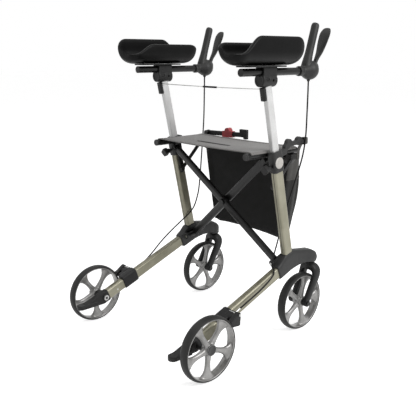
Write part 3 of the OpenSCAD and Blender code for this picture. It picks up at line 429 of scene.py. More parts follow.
# Profile of the barrel as (radius, place along the axle), and a spoke as (distance, half width, half depth).
BARREL = [(RIM_R, -15), (RIM_R, 15), (90.5, 15.4), (89, 14), (88.6, 7), (87.6, 1.2), (87.6, -1.2),
          (88.6, -7), (89, -14), (90.5, -15.4)]
SPOKE = [(12, 12, 10), (24, 10, 9), (40, 8.6, 7.6), (54, 9.2, 7), (66, 12, 7), (76, 18, 8), (84, 27, 9.5),
         (91, 37, 10.5)]
# Name, body, middle, and how far each wheel has rolled in degrees.
WHEELS = (("rear", "rear_wheel", REAR_X, 297, -20), ("caster", "caster", CASTER_X, FRAME_Y, 0))


def turned(shape, profile, place, steps=96):
    """Adds a closed profile of (radius, place along Y) turned about a wheel's axle."""
    loops = []
    for k in range(steps):
        a = 2 * math.pi * k / steps
        spots = [Vector((r * math.cos(a), y, r * math.sin(a))) + place for r, y in profile]
        loops.append([shape.verts.new(spot * mm) for spot in spots])
    for low, high in zip(loops, loops[1:] + loops[:1]):
        for k in range(len(profile)):
            shape.faces.new((low[k - 1], low[k], high[k], high[k - 1]))


for side, way in SIDES:
    for wheel, body, x, y, rolled in WHEELS:
        place = Vector((x, y * way, WHEEL_R))
        crown = [(WHEEL_R - CROWN_DROP * abs(t) ** 2.8, TYRE_HALF * t) for t in spread(-1, 1, 20)]
        shape = bmesh.new()
        turned(shape, crown + [(TYRE_SEAT, TYRE_HALF), (TYRE_SEAT, -TYRE_HALF)], place, 144)
        tyre = made_of(f"{side}_{wheel}_tyre_ring", shape, tyre_rubber, f"{side}_{body}")
        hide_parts(f"{side}_{wheel}_tyre")

        low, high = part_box(f"{side}_{wheel}_rim")
        near, far = low.y / mm - place.y + HUB_SHY, high.y / mm - place.y - HUB_SHY
        shape = bmesh.new()
        turned(shape, BARREL, place, 192)
        hub = [(AXLE_R, near), (HUB_R - 1, near), (HUB_R, near + HUB_ROUND), (HUB_R, far - HUB_ROUND),
               (HUB_R - 1, far), (AXLE_R, far)]
        turned(shape, hub, place)
        for number in range(SPOKES):
            a = math.radians(FIRST_SPOKE + 360 / SPOKES * number) * way + math.radians(rolled)
            out, along = Vector((math.cos(a), 0, math.sin(a))), Vector((-math.sin(a), 0, math.cos(a)))
            loft(shape, [oval(place + out * far_out, along, (0, 1, 0), wide, deep, 2.2)
                         for far_out, wide, deep in curved(SPOKE, 4)])
        rim = fused(f"{side}_{wheel}_rim_moulding", shape, 1.5, 8, rim_paint, f"{side}_{body}")
        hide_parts(f"{side}_{wheel}_rim")

# Badge discs and caps. A plain satin disc is pressed into the recess of each collar, a dark cap hides each
# rear axle end, a plug closes each rail, and a steel rivet holds each pedal in its tube.
satin_disc = moulded("satin_lacquered_disc", "a8a5a0", "c3c0bb", 0.6, 0.02, (0.3, 0.42), 0, {"Metallic": 0.3})
cap_nylon = moulded("grey_nylon_cap", "2a2a2a", "353535", 1.2, 0.08, (0.42, 0.55), 0,
                    {"IOR": 1.53, "Specular IOR Level": 0.3})
BADGE_X, BADGE_Z = 99.3, 599.1
AXLE_FACE, TUBE_FACE, RIVET_ALONG, RIVET_UP = 226, 232, 54, -2
RAIL_Y, RAIL_Z = 218, 624
BACKWARD = Matrix.Rotation(math.radians(90), 3, "Z")
# Profiles as (radius, place along the axle), with the seen face last.
DISC = [(0, -1.5), (17.9, -1.5), (17.9, 0), (17.4, 0.45), (16, 0.45), (15.4, 0.15), (8, 0.15), (7.6, 0),
        (0, 0)]
CAP = [(0, -4), (16.8, -4), (17.2, -1), (16, 0.4), (12, 1.1), (11.6, 0.7), (0, 1)]
SOCKET = [(0, -1), (4.6, -1), (4.6, 0.2), (4.2, 0.4), (3.4, 0.15), (0, 0.1)]
RIVET = [(0, -1), (3, -1), (3, 0.4), (2.2, 1.1), (0.9, 1.2), (0.7, 0.7), (0, 0.6)]
PLUG = [(0, -3), (10.6, -3), (11.2, -1), (10.4, 1.4), (8, 1.8), (7.2, 0.6), (0, 0.6)]


def turned_piece(name, profile, place, turn, skin, body):
    """Small turned piece with its profile's axle turned from Y, set at a place in mm."""
    shape = bmesh.new()
    turned(shape, profile, Vector((0, 0, 0)), 64)
    bmesh.ops.remove_doubles(shape, verts=shape.verts, dist=0.01 * mm)
    bmesh.ops.transform(shape, matrix=at(*place) @ turn.to_4x4(), verts=shape.verts)
    return made_of(name, shape, skin, body)


for side, way in SIDES:
    outward, inward = Matrix.Diagonal((1, way, 1)), Matrix.Diagonal((1, -way, 1))
    outer = 1 if way > 0 else 0
    body = side + "_frame"
    face_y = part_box(side + "_collar")[outer].y / mm
    end_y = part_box(side + "_frame_pins")[outer].y / mm
    rail_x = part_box(side + "_seat_rail")[0].x / mm
    badge_at, cap_at = (BADGE_X, face_y, BADGE_Z), (REAR_X, end_y, WHEEL_R)
    plug_at, socket_at = (rail_x, RAIL_Y * way, RAIL_Z), (REAR_X, AXLE_FACE * way, WHEEL_R)
    rivet_at = on_lower(RIVET_ALONG, TUBE_FACE * way, RIVET_UP)
    trims = [turned_piece(side + "_collar_disc", DISC, badge_at, outward, satin_disc, body),
             turned_piece(side + "_hub_cap", CAP, cap_at, outward, cap_nylon, body),
             turned_piece(side + "_rail_plug", PLUG, plug_at, BACKWARD, cap_nylon, side + "_rail"),
             turned_piece(side + "_axle_socket", SOCKET, socket_at, inward, cap_nylon, body)]
    rivet = turned_piece(side + "_plug_rivet", RIVET, rivet_at, inward, zinc, body)

# Scissor braces, seat rails and arm tubes. They are round and flat-sided steel tube, powder coated a
# semi-gloss black with a slight orange peel.
powder = moulded("powder_coated_steel", "0a0a0a", "111111", 2.6, 0.06, (0.24, 0.36), 1.0,
                 {"Specular IOR Level": 0.22, "Coat Weight": 0.08})
paint(powder, "front_brace", "rear_brace", "left_seat_rail", "right_seat_rail", "left_arm_tube",
      "right_arm_tube")

# Lock bar, bag arm and release. The bar in front of the seat is a black moulding that ends in a hook, the
# arm beside it carries the bag's strap, and the finger grip that slides on the bar is red ABS.
LOCK_X, LOCK_Y, LOCK_Z, LOCK_EYE, HOOK_Y = (223.8, 235.5), 206, 642, 10, 4
# Bar, neck, hook and hook tip: corners (y, z) from the hook's end and the bar's pivot.
LOCK_OUTLINES = ([(LOCK_Y - HOOK_Y, -9), (LOCK_Y - HOOK_Y, 8), (28, 14), (28, -2)],
                 [(34, -2), (34, 22), (8, 22), (8, -2)],
                 [(0, -8), (15, -8), (15, 26), (0, 26)],
                 [(0, 18), (35, 18), (35, 26), (0, 26)])
shape = bmesh.new()
for outline in LOCK_OUTLINES:
    loft(shape, [[(x, HOOK_Y + y, LOCK_Z + z) for y, z in outline] for x in LOCK_X])
loft(shape, [oval((x, LOCK_Y, LOCK_Z), (0, 1, 0), (0, 0, 1), LOCK_EYE, LOCK_EYE, 2) for x in LOCK_X])
lock_bar = fused("lock_bar_moulding", shape, 1.2, 3, black_nylon, "lock_bar")
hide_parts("lock_bar")
softened("bag_arm", 1.3, 4, nylon, "right_frame")
red_abs = moulded("red_abs", "8f2a2e", "a8363a", 1.2, 0.05, (0.3, 0.42), 1.5, {"IOR": 1.54})
paint(red_abs, "lock_release")

# Height tubes. They are the same kind of extrusion as the frame tubes, anodised natural silver, with lines
# 0.5 mm wide and 110 mm long, and slide in the collars.
silver = drawn_metal("anodised_silver", "bfbfbe", "d6d6d6", -LEAN, (0.5, 0.5, 110), (0.3, 0.42),
                     {"Metallic": 0.25})
paint(silver, "left_height_tube", "right_height_tube")


# Seat. One piece of coated polyester cloth is stretched between the rails and turned over them. A hand
# slot near its middle lets the user pull it up to fold the walker.
def woven(name, dark, light, thread, warp, weft, rough, sockets):
    """Plain weave: thread in mm, warp and weft the two directions in the cloth."""
    skin, tree, shader = start_finish(name, sockets)
    place = add(tree, "TexCoord").outputs["Object"]
    waves = []
    for way in (warp, weft):
        pitch = [w * math.pi / (thread * mm) for w in way]
        run = add(tree, "VectorMath", {0: place, 1: pitch}, operation="DOT_PRODUCT").outputs["Value"]
        waves.append(add(tree, "Math", {0: run}, operation="SINE").outputs[0])
    weave = add(tree, "Math", {0: waves[0], 1: waves[1]}, operation="MULTIPLY").outputs[0]
    cloud = add(tree, "TexNoise", {"Vector": place, "Scale": 1 / (28 * mm), "Detail": 4.0}).outputs[0]
    shade = add(tree, "Math", {0: weave, 1: 0.3, 2: cloud}, operation="MULTIPLY_ADD").outputs[0]
    toned(tree, shader, shade, (0.1, 0.9), dark, light, cloud, rough)
    bump = add(tree, "Bump", {"Height": weave, "Strength": 0.4, "Distance": 0.25 * mm}).outputs[0]
    tree.links.new(bump, shader.inputs["Normal"])
    return skin


def piece(name, points, faces, skin, body):
    """New piece from points in metres and faces."""
    mesh = bpy.data.meshes.new(name)
    mesh.from_pydata([Vector(p) for p in points], [], faces)
    mesh.validate()
    return finished(name, mesh, skin, body)


def strip(name, lines, thick, skin, body, closed=False):
    """Cloth or webbing through rows of points, given its thickness."""
    many, wide = len(lines), len(lines[0])
    points = [q for line in lines for q in line]
    faces = [(i * wide + k, i * wide + k + 1, (i + 1) % many * wide + k + 1, (i + 1) % many * wide + k)
             for i in range(many if closed else many - 1) for k in range(wide - 1)]
    made = piece(name, points, faces, skin, body)
    both = made.modifiers.new("thickness", "SOLIDIFY")
    both.thickness = thick
    both.offset = 0
    return made


def sewn(name, path, up, pitch, thread, body):
    """Row of lock stitches along a path: a short thread lying on the cloth at every pitch."""
    shape = bmesh.new()
    up = Vector(up)
    left = 0
    for start, end in zip(path, path[1:]):
        start, end = Vector(start), Vector(end)
        run = (end - start).normalized()
        long = (end - start).length
        while left < long:
            turn = Matrix((run, up.cross(run), up)).transposed().to_4x4()
            spot = Matrix.Translation(start + run * left + up * thread * 0.3) @ turn
            bmesh.ops.create_icosphere(shape, subdivisions=1, radius=1,
                                       matrix=spot @ Matrix.Diagonal((pitch * 0.36, thread, thread * 0.6, 1)))
            left += pitch
        left -= long
    return made_of(name, shape, seat_thread, body)


# Threads here and below are drawn 1.5 to 1.8 mm wide, coarser than they are, so that the weave shows.
seat_cloth = woven("coated_polyester_seat", "646260", "767472", 1.6, (1, 0, 0), (0, 1, 0), (0.55, 0.7),
                   {"Sheen Weight": 0.15})
webbing = woven("polyester_webbing", "232323", "2f2f2e", 1.8, (1, 1, 0), (0, 1, 1), (0.65, 0.8),
                {"Sheen Weight": 0.1})
seat_thread = moulded("polyester_thread", "3a3a39", "4a4948", 0.5, 0.02, (0.5, 0.6), 0,
                      {"Sheen Weight": 0.2})
SEAT_Y, SEAT_Z = RAIL_Y * mm, RAIL_Z * mm
SEAT_BACK, SEAT_FRONT = 4 * mm, 214 * mm
SEAT_ROUND, SEAT_SAG = 12.3 * mm, 3 * mm
SLOT_X, SLOT_Y = (75 * mm, 80 * mm), (-58 * mm, 94 * mm)
SEAT_THICK, HEM_THICK, BINDING_THICK = 1.6 * mm, 0.9 * mm, 0.8 * mm
HEM_WIDE, HEM_EDGE, HEM_LIFT, STITCH_LIFT = 17 * mm, 0.4 * mm, 1.2 * mm, 1.7 * mm
STITCH_IN, STITCH_PITCH, STITCH_R = 3 * mm, 4.5 * mm, 0.55 * mm
# The cloth turns over each rail from this angle in degrees up to its crown.
TURN_FROM, TURN_STEPS = 27, 8
# Section of the binding round the slot in mm: distance from the cut and height over the cloth.
BINDING = ((-0.6, -0.8), (-0.2, 1.3), (2, 1.7), (4.5, 1.2))


def seat_height(y):
    """Height of the cloth between the rails, with a little sag."""
    return SEAT_Z + SEAT_ROUND - SEAT_SAG * (1 - (y / SEAT_Y) ** 2)


def seat_line(y_marks, lift):
    """Line of the cloth across the seat: over the left rail, flat with a little sag, over the right rail."""
    turn = []
    for step in range(TURN_STEPS + 1):
        a = math.radians(TURN_FROM + (90 - TURN_FROM) * step / TURN_STEPS)
        r = SEAT_ROUND + lift
        turn.append((SEAT_Y + r * math.cos(a), SEAT_Z + r * math.sin(a)))
    return turn + [(y, seat_height(y) + lift) for y in y_marks] + [(-y, z) for y, z in reversed(turn)]


def seat_rows(x_marks, lift):
    """Rows of points over the seat, with a mark at each end of the hand slot."""
    y_marks = sorted(set(SLOT_Y) | {SEAT_Y - (i + 0.7) * 12 * mm for i in range(36)}, reverse=True)
    return [[(x, y, z) for y, z in seat_line(y_marks, lift)] for x in x_marks]


def in_slot(face):
    """True for a face of the cloth that the hand slot takes out."""
    x, y, z = face.calc_center_median()
    return SLOT_X[0] < x < SLOT_X[1] and SLOT_Y[0] < y < SLOT_Y[1] and z > SEAT_Z


def slot_ring(margin, lift):
    """Rounded ring of points around the hand slot."""
    mid_x, mid_y = sum(SLOT_X) / 2, sum(SLOT_Y) / 2
    half_x, half_y = (SLOT_X[1] - SLOT_X[0]) / 2 + margin, (SLOT_Y[1] - SLOT_Y[0]) / 2 + margin
    ring = []
    for k in range(48):
        a = 2 * math.pi * k / 48
        x = mid_x + math.copysign(abs(math.cos(a)) ** 0.5, math.cos(a)) * half_x
        y = mid_y + math.copysign(abs(math.sin(a)) ** 0.25, math.sin(a)) * half_y
        ring.append((x, y, seat_height(y) + lift))
    return ring


seat_marks = spread(SEAT_BACK, SLOT_X[0], 8) + spread(SLOT_X[1], SEAT_FRONT, 14)
seat = strip("seat_cloth", seat_rows(seat_marks, 0), SEAT_THICK, seat_cloth, "left_rail")
cut = bmesh.new()
cut.from_mesh(seat.data)
bmesh.ops.delete(cut, geom=[face for face in cut.faces if in_slot(face)], context="FACES")
cut.to_mesh(seat.data)
cut.free()
hems = []
for end, x0, x1 in (("back", SEAT_BACK + HEM_EDGE, SEAT_BACK + HEM_WIDE),
                    ("front", SEAT_FRONT - HEM_WIDE, SEAT_FRONT - HEM_EDGE)):
    hem_rows = seat_rows(spread(x0, x1, 4), HEM_LIFT)
    hems.append(strip("seat_hem_" + end, hem_rows, HEM_THICK, seat_cloth, "left_rail"))
    stitch_marks = spread(SEAT_Y - 10 * mm, -SEAT_Y + 10 * mm, 20)
    for k, x in enumerate((x0 + STITCH_IN, x1 - STITCH_IN)):
        path = [(x, y, seat_height(y) + STITCH_LIFT) for y in stitch_marks]
        hems.append(sewn(f"seat_stitch_{end}_{k}", path, (0, 0, 1), STITCH_PITCH, STITCH_R, "left_rail"))
rings = [slot_ring(margin * mm, lift * mm) for margin, lift in BINDING]
hems.append(strip("seat_slot_binding", [list(row) for row in zip(*rings)], BINDING_THICK, webbing,
                  "left_rail", closed=True))
for soft in [seat] + hems:
    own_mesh(soft)
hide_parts("seat")

# Bag. Black woven polyester sewn into an open pouch in front of the seat, narrower at its foot and
# fuller in front. Its back panel is black, the sides and front charcoal under a grey band.
BAG_CLOTH = (1.5, (1, 1, 0), (0, 0, 1), (0.7, 0.85), {"Sheen Weight": 0.04, "Specular IOR Level": 0.2})
bag_back = woven("woven_polyester_black", "141414", "1c1c1b", *BAG_CLOTH)
bag_wrap = woven("woven_polyester_charcoal", "20201f", "292928", *BAG_CLOTH)
bag_band = woven("woven_polyester_grey", "403f3d", "4c4b49", *BAG_CLOTH)
BAG_X, BAG_TOP, BAND_FOOT, BAG_FOOT = 214.6 * mm, 604 * mm, 517 * mm, 319 * mm
# Half width at the rim and its taper, depth at the rim, its growth to the foot and the belly between.
BAG_HALF, BAG_TAPER, BAG_DEEP, BAG_GROWTH, BAG_BELLY = 203, 41, 59, 14, 22
BAG_CORNER, BAG_PINCH, BAG_BOW, BAG_THICK = 13 * mm, 3 * mm, 3 * mm, 1.6 * mm
# How far the rim hangs all round and at the right side, and the depth in which that fades.
RIM_HANG, SIDE_HANG, HANG_DEEP = 2 * mm, 13 * mm, 70 * mm
BACK_STEPS, BAND_STEPS, FOOT_RINGS = 32, 10, (0.75, 0.5, 0.25)


def bag_ring(z):
    """Outline of the bag at one height: straight back panel, then right side, front and left side."""
    t = (BAG_TOP - z) / (BAG_TOP - BAG_FOOT)
    half = (BAG_HALF - BAG_TAPER * t) * mm
    deep = (BAG_DEEP + BAG_GROWTH * t + BAG_BELLY * math.sin(math.pi * min(1, t)) ** 0.8) * mm
    flat, reach = deep - BAG_CORNER, half - BAG_PINCH - BAG_CORNER
    side = [(BAG_X + flat * i / 9, -half + BAG_PINCH * i / 9) for i in range(1, 10)]
    turn = [(BAG_X + flat + BAG_CORNER * math.sin(a), -half + BAG_PINCH + BAG_CORNER * (1 - math.cos(a)))
            for a in (math.pi / 2 * k / 6 for k in range(1, 7))]
    front = [(BAG_X + deep + BAG_BOW * math.sin(math.pi * i / 24), reach * (2 * i / 24 - 1))
             for i in range(1, 13)]
    run = side + turn + front
    back = [(BAG_X, half * (1 - 2 * i / BACK_STEPS)) for i in range(BACK_STEPS + 1)]
    return [(x, y, z) for x, y in back + run + [(x, -y) for x, y in run[-2::-1]]]


def bag_dip(x, y, z):
    """The open rim hangs a little everywhere, and most at the right side behind the strap."""
    near = max(0, 1 - (BAG_TOP - z) / HANG_DEEP)
    along = max(0, min(1, ((x - BAG_X) / (60 * mm) - 0.15) / 0.5))
    side = max(0, min(1, (-y - 150 * mm) / (45 * mm))) * (0.5 + 0.5 * math.cos(math.pi * along))
    return z - near ** 2 * (RIM_HANG + SIDE_HANG * side)


def wrapped(rows, wide):
    """Faces between rows of points that each run round and close."""
    return [(i * wide + k, i * wide + (k + 1) % wide, (i + 1) * wide + (k + 1) % wide, (i + 1) * wide + k)
            for i in range(rows - 1) for k in range(wide)]


def settle(made, held, frames, pressure, reach, back_reach):
    """Lets cloth hang and belly in a short simulation, then keeps each point near where it was cut."""
    before = [v.co.copy() for v in made.data.vertices]
    group = made.vertex_groups.new(name="held")
    group.add(held, 1.0, "REPLACE")
    cloth = made.modifiers.new("cloth", "CLOTH")
    cloth.settings.quality = 5
    cloth.settings.mass = 0.25
    cloth.settings.tension_stiffness = 18
    cloth.settings.compression_stiffness = 18
    cloth.settings.bending_stiffness = 0.6
    cloth.settings.vertex_group_mass = "held"
    cloth.settings.use_pressure = True
    cloth.settings.uniform_pressure_force = pressure
    cloth.point_cache.frame_end = frames
    for number in range(1, frames + 1):
        bpy.context.scene.frame_set(number)
    shaped = made.evaluated_get(bpy.context.evaluated_depsgraph_get())
    after = [v.co.copy() for v in shaped.data.vertices]
    made.modifiers.remove(cloth)
    made.vertex_groups.clear()
    bpy.context.scene.frame_set(1)
    for vertex, old, new in zip(made.data.vertices, before, after):
        move = new - old
        if move.length > reach:
            move *= reach / move.length
        move.x = max(move.x, -back_reach)
        vertex.co = old + move


levels = spread(BAG_TOP, BAND_FOOT, BAND_STEPS) + spread(BAND_FOOT, BAG_FOOT, 22)[1:]
bag_rows = [bag_ring(z) for z in levels]
wide = len(bag_rows[0])
points = [(x, y, bag_dip(x, y, z)) for row in bag_rows for x, y, z in row]
FOOT_X = BAG_X + 25 * mm
for shrink in FOOT_RINGS:
    points += [(FOOT_X + (x - FOOT_X) * shrink, y * (0.82 + 0.18 * shrink), z - (1 - shrink) * 2 * mm)
               for x, y, z in bag_rows[-1]]
faces = wrapped(len(bag_rows) + len(FOOT_RINGS), wide)
faces.append(tuple(range(len(points) - wide, len(points))))
bag = piece("bag_pouch", points, faces, bag_back, None)
bag.data.materials.append(bag_wrap)
bag.data.materials.append(bag_band)
for index, face in enumerate(bag.data.polygons):
    row, col = divmod(index, wide)
    if row < len(bag_rows) - 1 and col >= BACK_STEPS:
        face.material_index = 2 if row < BAND_STEPS else 1
rim = list(range(wide))
settle(bag, rim, frames=18, pressure=1.2, reach=9 * mm, back_reach=0.8 * mm)
skin_on = bag.modifiers.new("thickness", "SOLIDIFY")
skin_on.thickness = BAG_THICK
skin_on.offset = 0
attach(bag, "left_frame")

# The binding folds over the rim: distance out from the rim and above it in mm.
RIM_FOLD = ((1.5, -14), (1.8, -1), (0, 1.2), (-1.8, -1), (-1.5, -12))
rim_rows = []
for k in rim:
    spot = bag.data.vertices[k].co.copy()
    out = Vector((spot.x - BAG_X - 28 * mm, spot.y * 0.16, 0)).normalized()
    if k <= BACK_STEPS:
        out = Vector((0 if k in (0, BACK_STEPS) else -1, 0, 0))
    rim_rows.append([spot + out * away * mm + Vector((0, 0, rise * mm)) for away, rise in RIM_FOLD])
trims = [strip("bag_rim_binding", rim_rows, 0.7 * mm, webbing, "left_frame", closed=True)]

# A ring round the bag arm and a strap from it hold the right front of the bag.
STRAP_X, STRAP_WIDE = 226 * mm, 17 * mm
BAG_ARM_Z, RING_WIDE, RING_HIGH, RING_SQUARE = 655, 8.4, 11.2, 2 / 0.45
STRAP_DROP = [(0, -236, 648), (4, -228, 640), (10, -217, 628), (16, -208, 615), (20, -204.5, 602),
              (21, -203.5, 588)]
strap_marks = [STRAP_X + STRAP_WIDE * k / 3 for k in range(4)]
ring = oval((0, -FRAME_Y, BAG_ARM_Z), (0, 1, 0), (0, 0, 1), RING_WIDE, RING_HIGH, RING_SQUARE, 28)
loop = [[(x, spot.y * mm, spot.z * mm) for x in strap_marks] for spot in ring]
arm_loop = strip("bag_loop_ring", loop, 1.0 * mm, bag_band, "right_frame", closed=True)
strap = [[(mark + x * mm, y * mm, z * mm) for mark in strap_marks] for x, y, z in STRAP_DROP]
trims.append(strip("bag_loop_strap", strap, 1.4 * mm, bag_band, "left_frame"))

# The band's lower edge is turned up and sewn, and a tab holds the left end of the back panel.
TAB, TAB_WIDE = [(190, 588), (198, 596), (208, 601), (220, 602), (227, 602)], 15
seam = []
for k in range(BACK_STEPS, wide):
    low, high = (bag.data.vertices[row * wide + k].co for row in (BAND_STEPS, BAND_STEPS - 1))
    out = Vector((low.x - BAG_X - 30 * mm, low.y * 0.25, 0)).normalized() * 1.3 * mm
    seam.append([low + out, low.lerp(high, 0.35) + out, low.lerp(high, 0.7) + out])
trims.append(strip("bag_band_hem", seam, 0.6 * mm, bag_band, "left_frame"))
tab_rows = [[(BAG_X - 0.2 * mm, y * mm, (z - TAB_WIDE * k / 3) * mm) for k in range(4)] for y, z in TAB]
trims.append(strip("bag_tab", tab_rows, 1.4 * mm, webbing, "left_frame"))
for soft in [bag] + trims:
    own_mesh(soft)
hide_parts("bag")

# Arm pads. Each trough is moulded polyurethane foam with its own black skin: one wall tall, one low, and
# each cut away in an S at one end. The right pad is the left one turned half round.
foam = moulded("polyurethane_skin_foam", "040404", "080808", 1.8, 0.05, (0.34, 0.46), 0,
               {"IOR": 1.5, "Specular IOR Level": 0.1})
PAD_X, PAD_Z = 28, 893.8
PAD_HALF, PAD_END, PAD_WIDE, PAD_WALL, PAD_FLOOR = 142, 36, 50, 13, 14
# Heights of the tall and the low wall, of the rounded ends and of a cut wall, and where each cut runs.
TALL, LOW, NOSE, LIP, CUT, SWING = 80, 62, 45, 30, 54, 76
# How far the round ends rise and narrow, the rounding outside and inside the floor, and that of the lips.
END_RISE, END_NARROW, OUTER_ROUND, INNER_ROUND, LIP_ROUND = 20, 0.24, 40, 30, 3.2
PAD_ROWS = 44


def eased(t):
    """Smooth step from 0 to 1."""
    t = max(0, min(1, t))
    return t * t * (3 - 2 * t)


def end_round(x):
    """How far the round end of the pad has drawn in at one place along it, from 0 to 1."""
    e = max(0, (abs(x) - (PAD_HALF - PAD_END)) / PAD_END)
    return 1 - math.sqrt(max(0, 1 - e * e))


def bowl(z, deep):
    """Share of the full half width that a round trough has at one height."""
    return math.sqrt(max(0, 1 - (1 - min(1, z / deep)) ** 2))


def pad_ring(x):
    """Section of the trough at one place along it: outer skin, lip, inner hollow, lip."""
    drawn_in = end_round(x)
    base = END_RISE * drawn_in
    half = PAD_WIDE * (1 - END_NARROW * drawn_in)
    tops = [min(h - (h - NOSE) * drawn_in, h - (h - LIP) * eased((x * way - CUT) / SWING)) - base
            for h, way in ((TALL, 1), (LOW, -1))]
    floor = min(PAD_FLOOR, 0.55 * min(tops))
    drops = [1 - math.sin(math.pi / 2 * k / 9) for k in range(10)]
    walls = []
    for way, top in ((1, tops[0]), (-1, tops[1])):
        rise = top - floor
        outer = [(half * bowl(top * d, OUTER_ROUND), top * d) for d in drops]
        inner = [((half - PAD_WALL) * bowl(rise * d, INNER_ROUND), floor + rise * d) for d in drops]
        lip = [(outer[0][0] * f + inner[0][0] * (1 - f), top + LIP_ROUND * math.sin(math.pi * f))
               for f in (0.75, 0.5, 0.25)]
        walls.append([(way * y, base + z) for y, z in outer[::-1][1:] + lip + inner[:-1]])
    return [(0, base)] + walls[0] + [(0, base + floor)] + walls[1][::-1]


for side, way in SIDES:
    rows = [-PAD_HALF * math.cos(math.pi * i / PAD_ROWS) for i in range(PAD_ROWS + 1)]
    shape = bmesh.new()
    loft(shape, [[(PAD_X + x * way, way * (FRAME_Y + y), PAD_Z + z) for y, z in pad_ring(x)] for x in rows])
    pad = made_of(side + "_pad", shape, foam, side + "_support")
    skin_on = pad.modifiers.new("skin", "SUBSURF")
    skin_on.levels = 1
    skin_on.render_levels = 1
    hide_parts(side + "_arm_pad")

# Handles. Brake housing and grip are one black nylon moulding that flows from the clamp ring into the
# slender grip; the spoon-shaped brake lever turns on a pin in its slot.
grip_skin = moulded("soft_touch_nylon", "1c1c1c", "252524", 1.6, 0.08, (0.42, 0.56), 0,
                    {"IOR": 1.5, "Specular IOR Level": 0.3})
GRIP_X, GRIP_Z, GRIP_BACK, ARM_TUBE_Z = 241, 891, 10, 875
GRIP_LEAN = math.radians(17.5)
ALONG_X = Matrix.Rotation(math.pi / 2, 4, "Y")
LEVER_X, LEVER_Z, PIN_R, PIN_LONG = 269, 887, 8, 15.6
# Spout for the cable: place, length, and radius at its foot and top.
SPOUT_X, SPOUT_Z, SPOUT_LONG, SPOUT_FOOT, SPOUT_TOP = 245, 852, 20, 4.4, 7
# Slot for the lever: its middle from the pin, and its size.
SLOT_OUT, SLOT_UP, SLOT_SIZE = 21.4, 14.4, (60 * mm, 16.8 * mm, 46 * mm, 1)
# Housing: balls (x, z, radius) from the grip's foot. Clamp ring: from, to and radius along the arm tube.
HOUSING = ((-24, 0, 15), (7, 2, 30), (20, 10, 21))
CLAMP = ((-48, -36, 15.5), (-37, -5, 14))
# Grip: height and radius.
GRIP = [(-6, 16), (2, 16), (18, 14.6), (34, 13.3), (52, 12.7), (125, 12.7), (131, 11.8), (135, 9),
        (136, 0.3)]
# Lever: x and z from its pivot, half width and half thickness.
LEVER = [(0, 0, 8, 7), (6, 12, 8, 6.5), (13, 25, 8.5, 6), (26, 44, 13, 5.5), (35, 63, 17, 5),
         (44, 83, 20, 4.6), (53, 103, 20.5, 4.6), (60.5, 116, 14.5, 3.6), (63, 119.5, 7, 2)]
LEVER_SIDES = 28
for side, way in SIDES:
    y = FRAME_Y * way
    shape = bmesh.new()
    for x, z, r in HOUSING:
        bmesh.ops.create_uvsphere(shape, u_segments=40, v_segments=24, radius=r * mm,
                                  matrix=at(GRIP_X + x, y, ARM_TUBE_Z + z))
    hull = bmesh.ops.convex_hull(shape, input=shape.verts)
    inside = [g for g in hull["geom_interior"] if isinstance(g, bmesh.types.BMVert)]
    bmesh.ops.delete(shape, geom=inside, context="VERTS")
    for x0, x1, r in CLAMP:
        rod(shape, at(GRIP_X + (x0 + x1) / 2, y, ARM_TUBE_Z) @ ALONG_X, x1 - x0, r, r, 48)
    lean = at(GRIP_X - GRIP_BACK, y, GRIP_Z) @ Matrix.Rotation(GRIP_LEAN, 4, "Y")
    for (h0, r0), (h1, r1) in zip(GRIP, GRIP[1:]):
        rod(shape, lean @ at(0, 0, (h0 + h1) / 2), h1 - h0 + 0.4, r0, r1, 48)
    rod(shape, at(SPOUT_X, y, SPOUT_Z), SPOUT_LONG, SPOUT_FOOT, SPOUT_TOP, 24)
    handle = fused(side + "_handle_moulding", shape, 1.4, 5, grip_skin, side + "_support")
    slot = bmesh.new()
    slot_at = at(LEVER_X + SLOT_OUT, y, LEVER_Z + SLOT_UP)
    bmesh.ops.create_cube(slot, size=1, matrix=slot_at @ Matrix.Diagonal(SLOT_SIZE))
    cutter_mesh = bpy.data.meshes.new("slot")
    slot.to_mesh(cutter_mesh)
    slot.free()
    cutter = bpy.data.objects.new("slot", cutter_mesh)
    bpy.context.scene.collection.objects.link(cutter)
    trim = handle.modifiers.new("slot", "BOOLEAN")
    trim.object = cutter
    trim.solver = "EXACT"
    done = bpy.data.meshes.new_from_object(handle.evaluated_get(bpy.context.evaluated_depsgraph_get()))
    handle.modifiers.clear()
    handle.data = done
    for face in done.polygons:
        face.use_smooth = True
    bpy.data.objects.remove(cutter)
    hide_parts(side + "_handle")

for side, way in SIDES:
    y = FRAME_Y * way
    rows = curved(LEVER, 5)
    points = []
    for i, (x, z, wide, thick) in enumerate(rows):
        before, after = rows[max(i - 1, 0)], rows[min(i + 1, len(rows) - 1)]
        run = Vector((after[0] - before[0], 0, after[1] - before[1])).normalized()
        out = run.cross(Vector((0, 1, 0)))
        dish = 1.6 * eased((z - 50) / 40)
        for k in range(LEVER_SIDES):
            a = 2 * math.pi * k / LEVER_SIDES
            hollow = dish * (math.cos(a) ** 2 - 0.5) * (1 if math.sin(a) < 0 else 0.3)
            spot = Vector((LEVER_X + x, y + wide * math.cos(a), LEVER_Z + z))
            points.append((spot + out * (thick * math.sin(a) + hollow)) * mm)
    faces = wrapped(len(rows), LEVER_SIDES)
    faces += [tuple(range(LEVER_SIDES)), tuple(range(len(points) - LEVER_SIDES, len(points)))]
    lever = piece(side + "_lever_blade", points, faces, grip_skin, side + "_lever")
    turn = bmesh.new()
    turn.from_mesh(lever.data)
    rod(turn, at(LEVER_X, y, LEVER_Z) @ ALONG_Y, PIN_LONG, PIN_R, PIN_R)
    bmesh.ops.recalc_face_normals(turn, faces=turn.faces)
    turn.to_mesh(lever.data)
    turn.free()
    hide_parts(side + "_brake_lever")


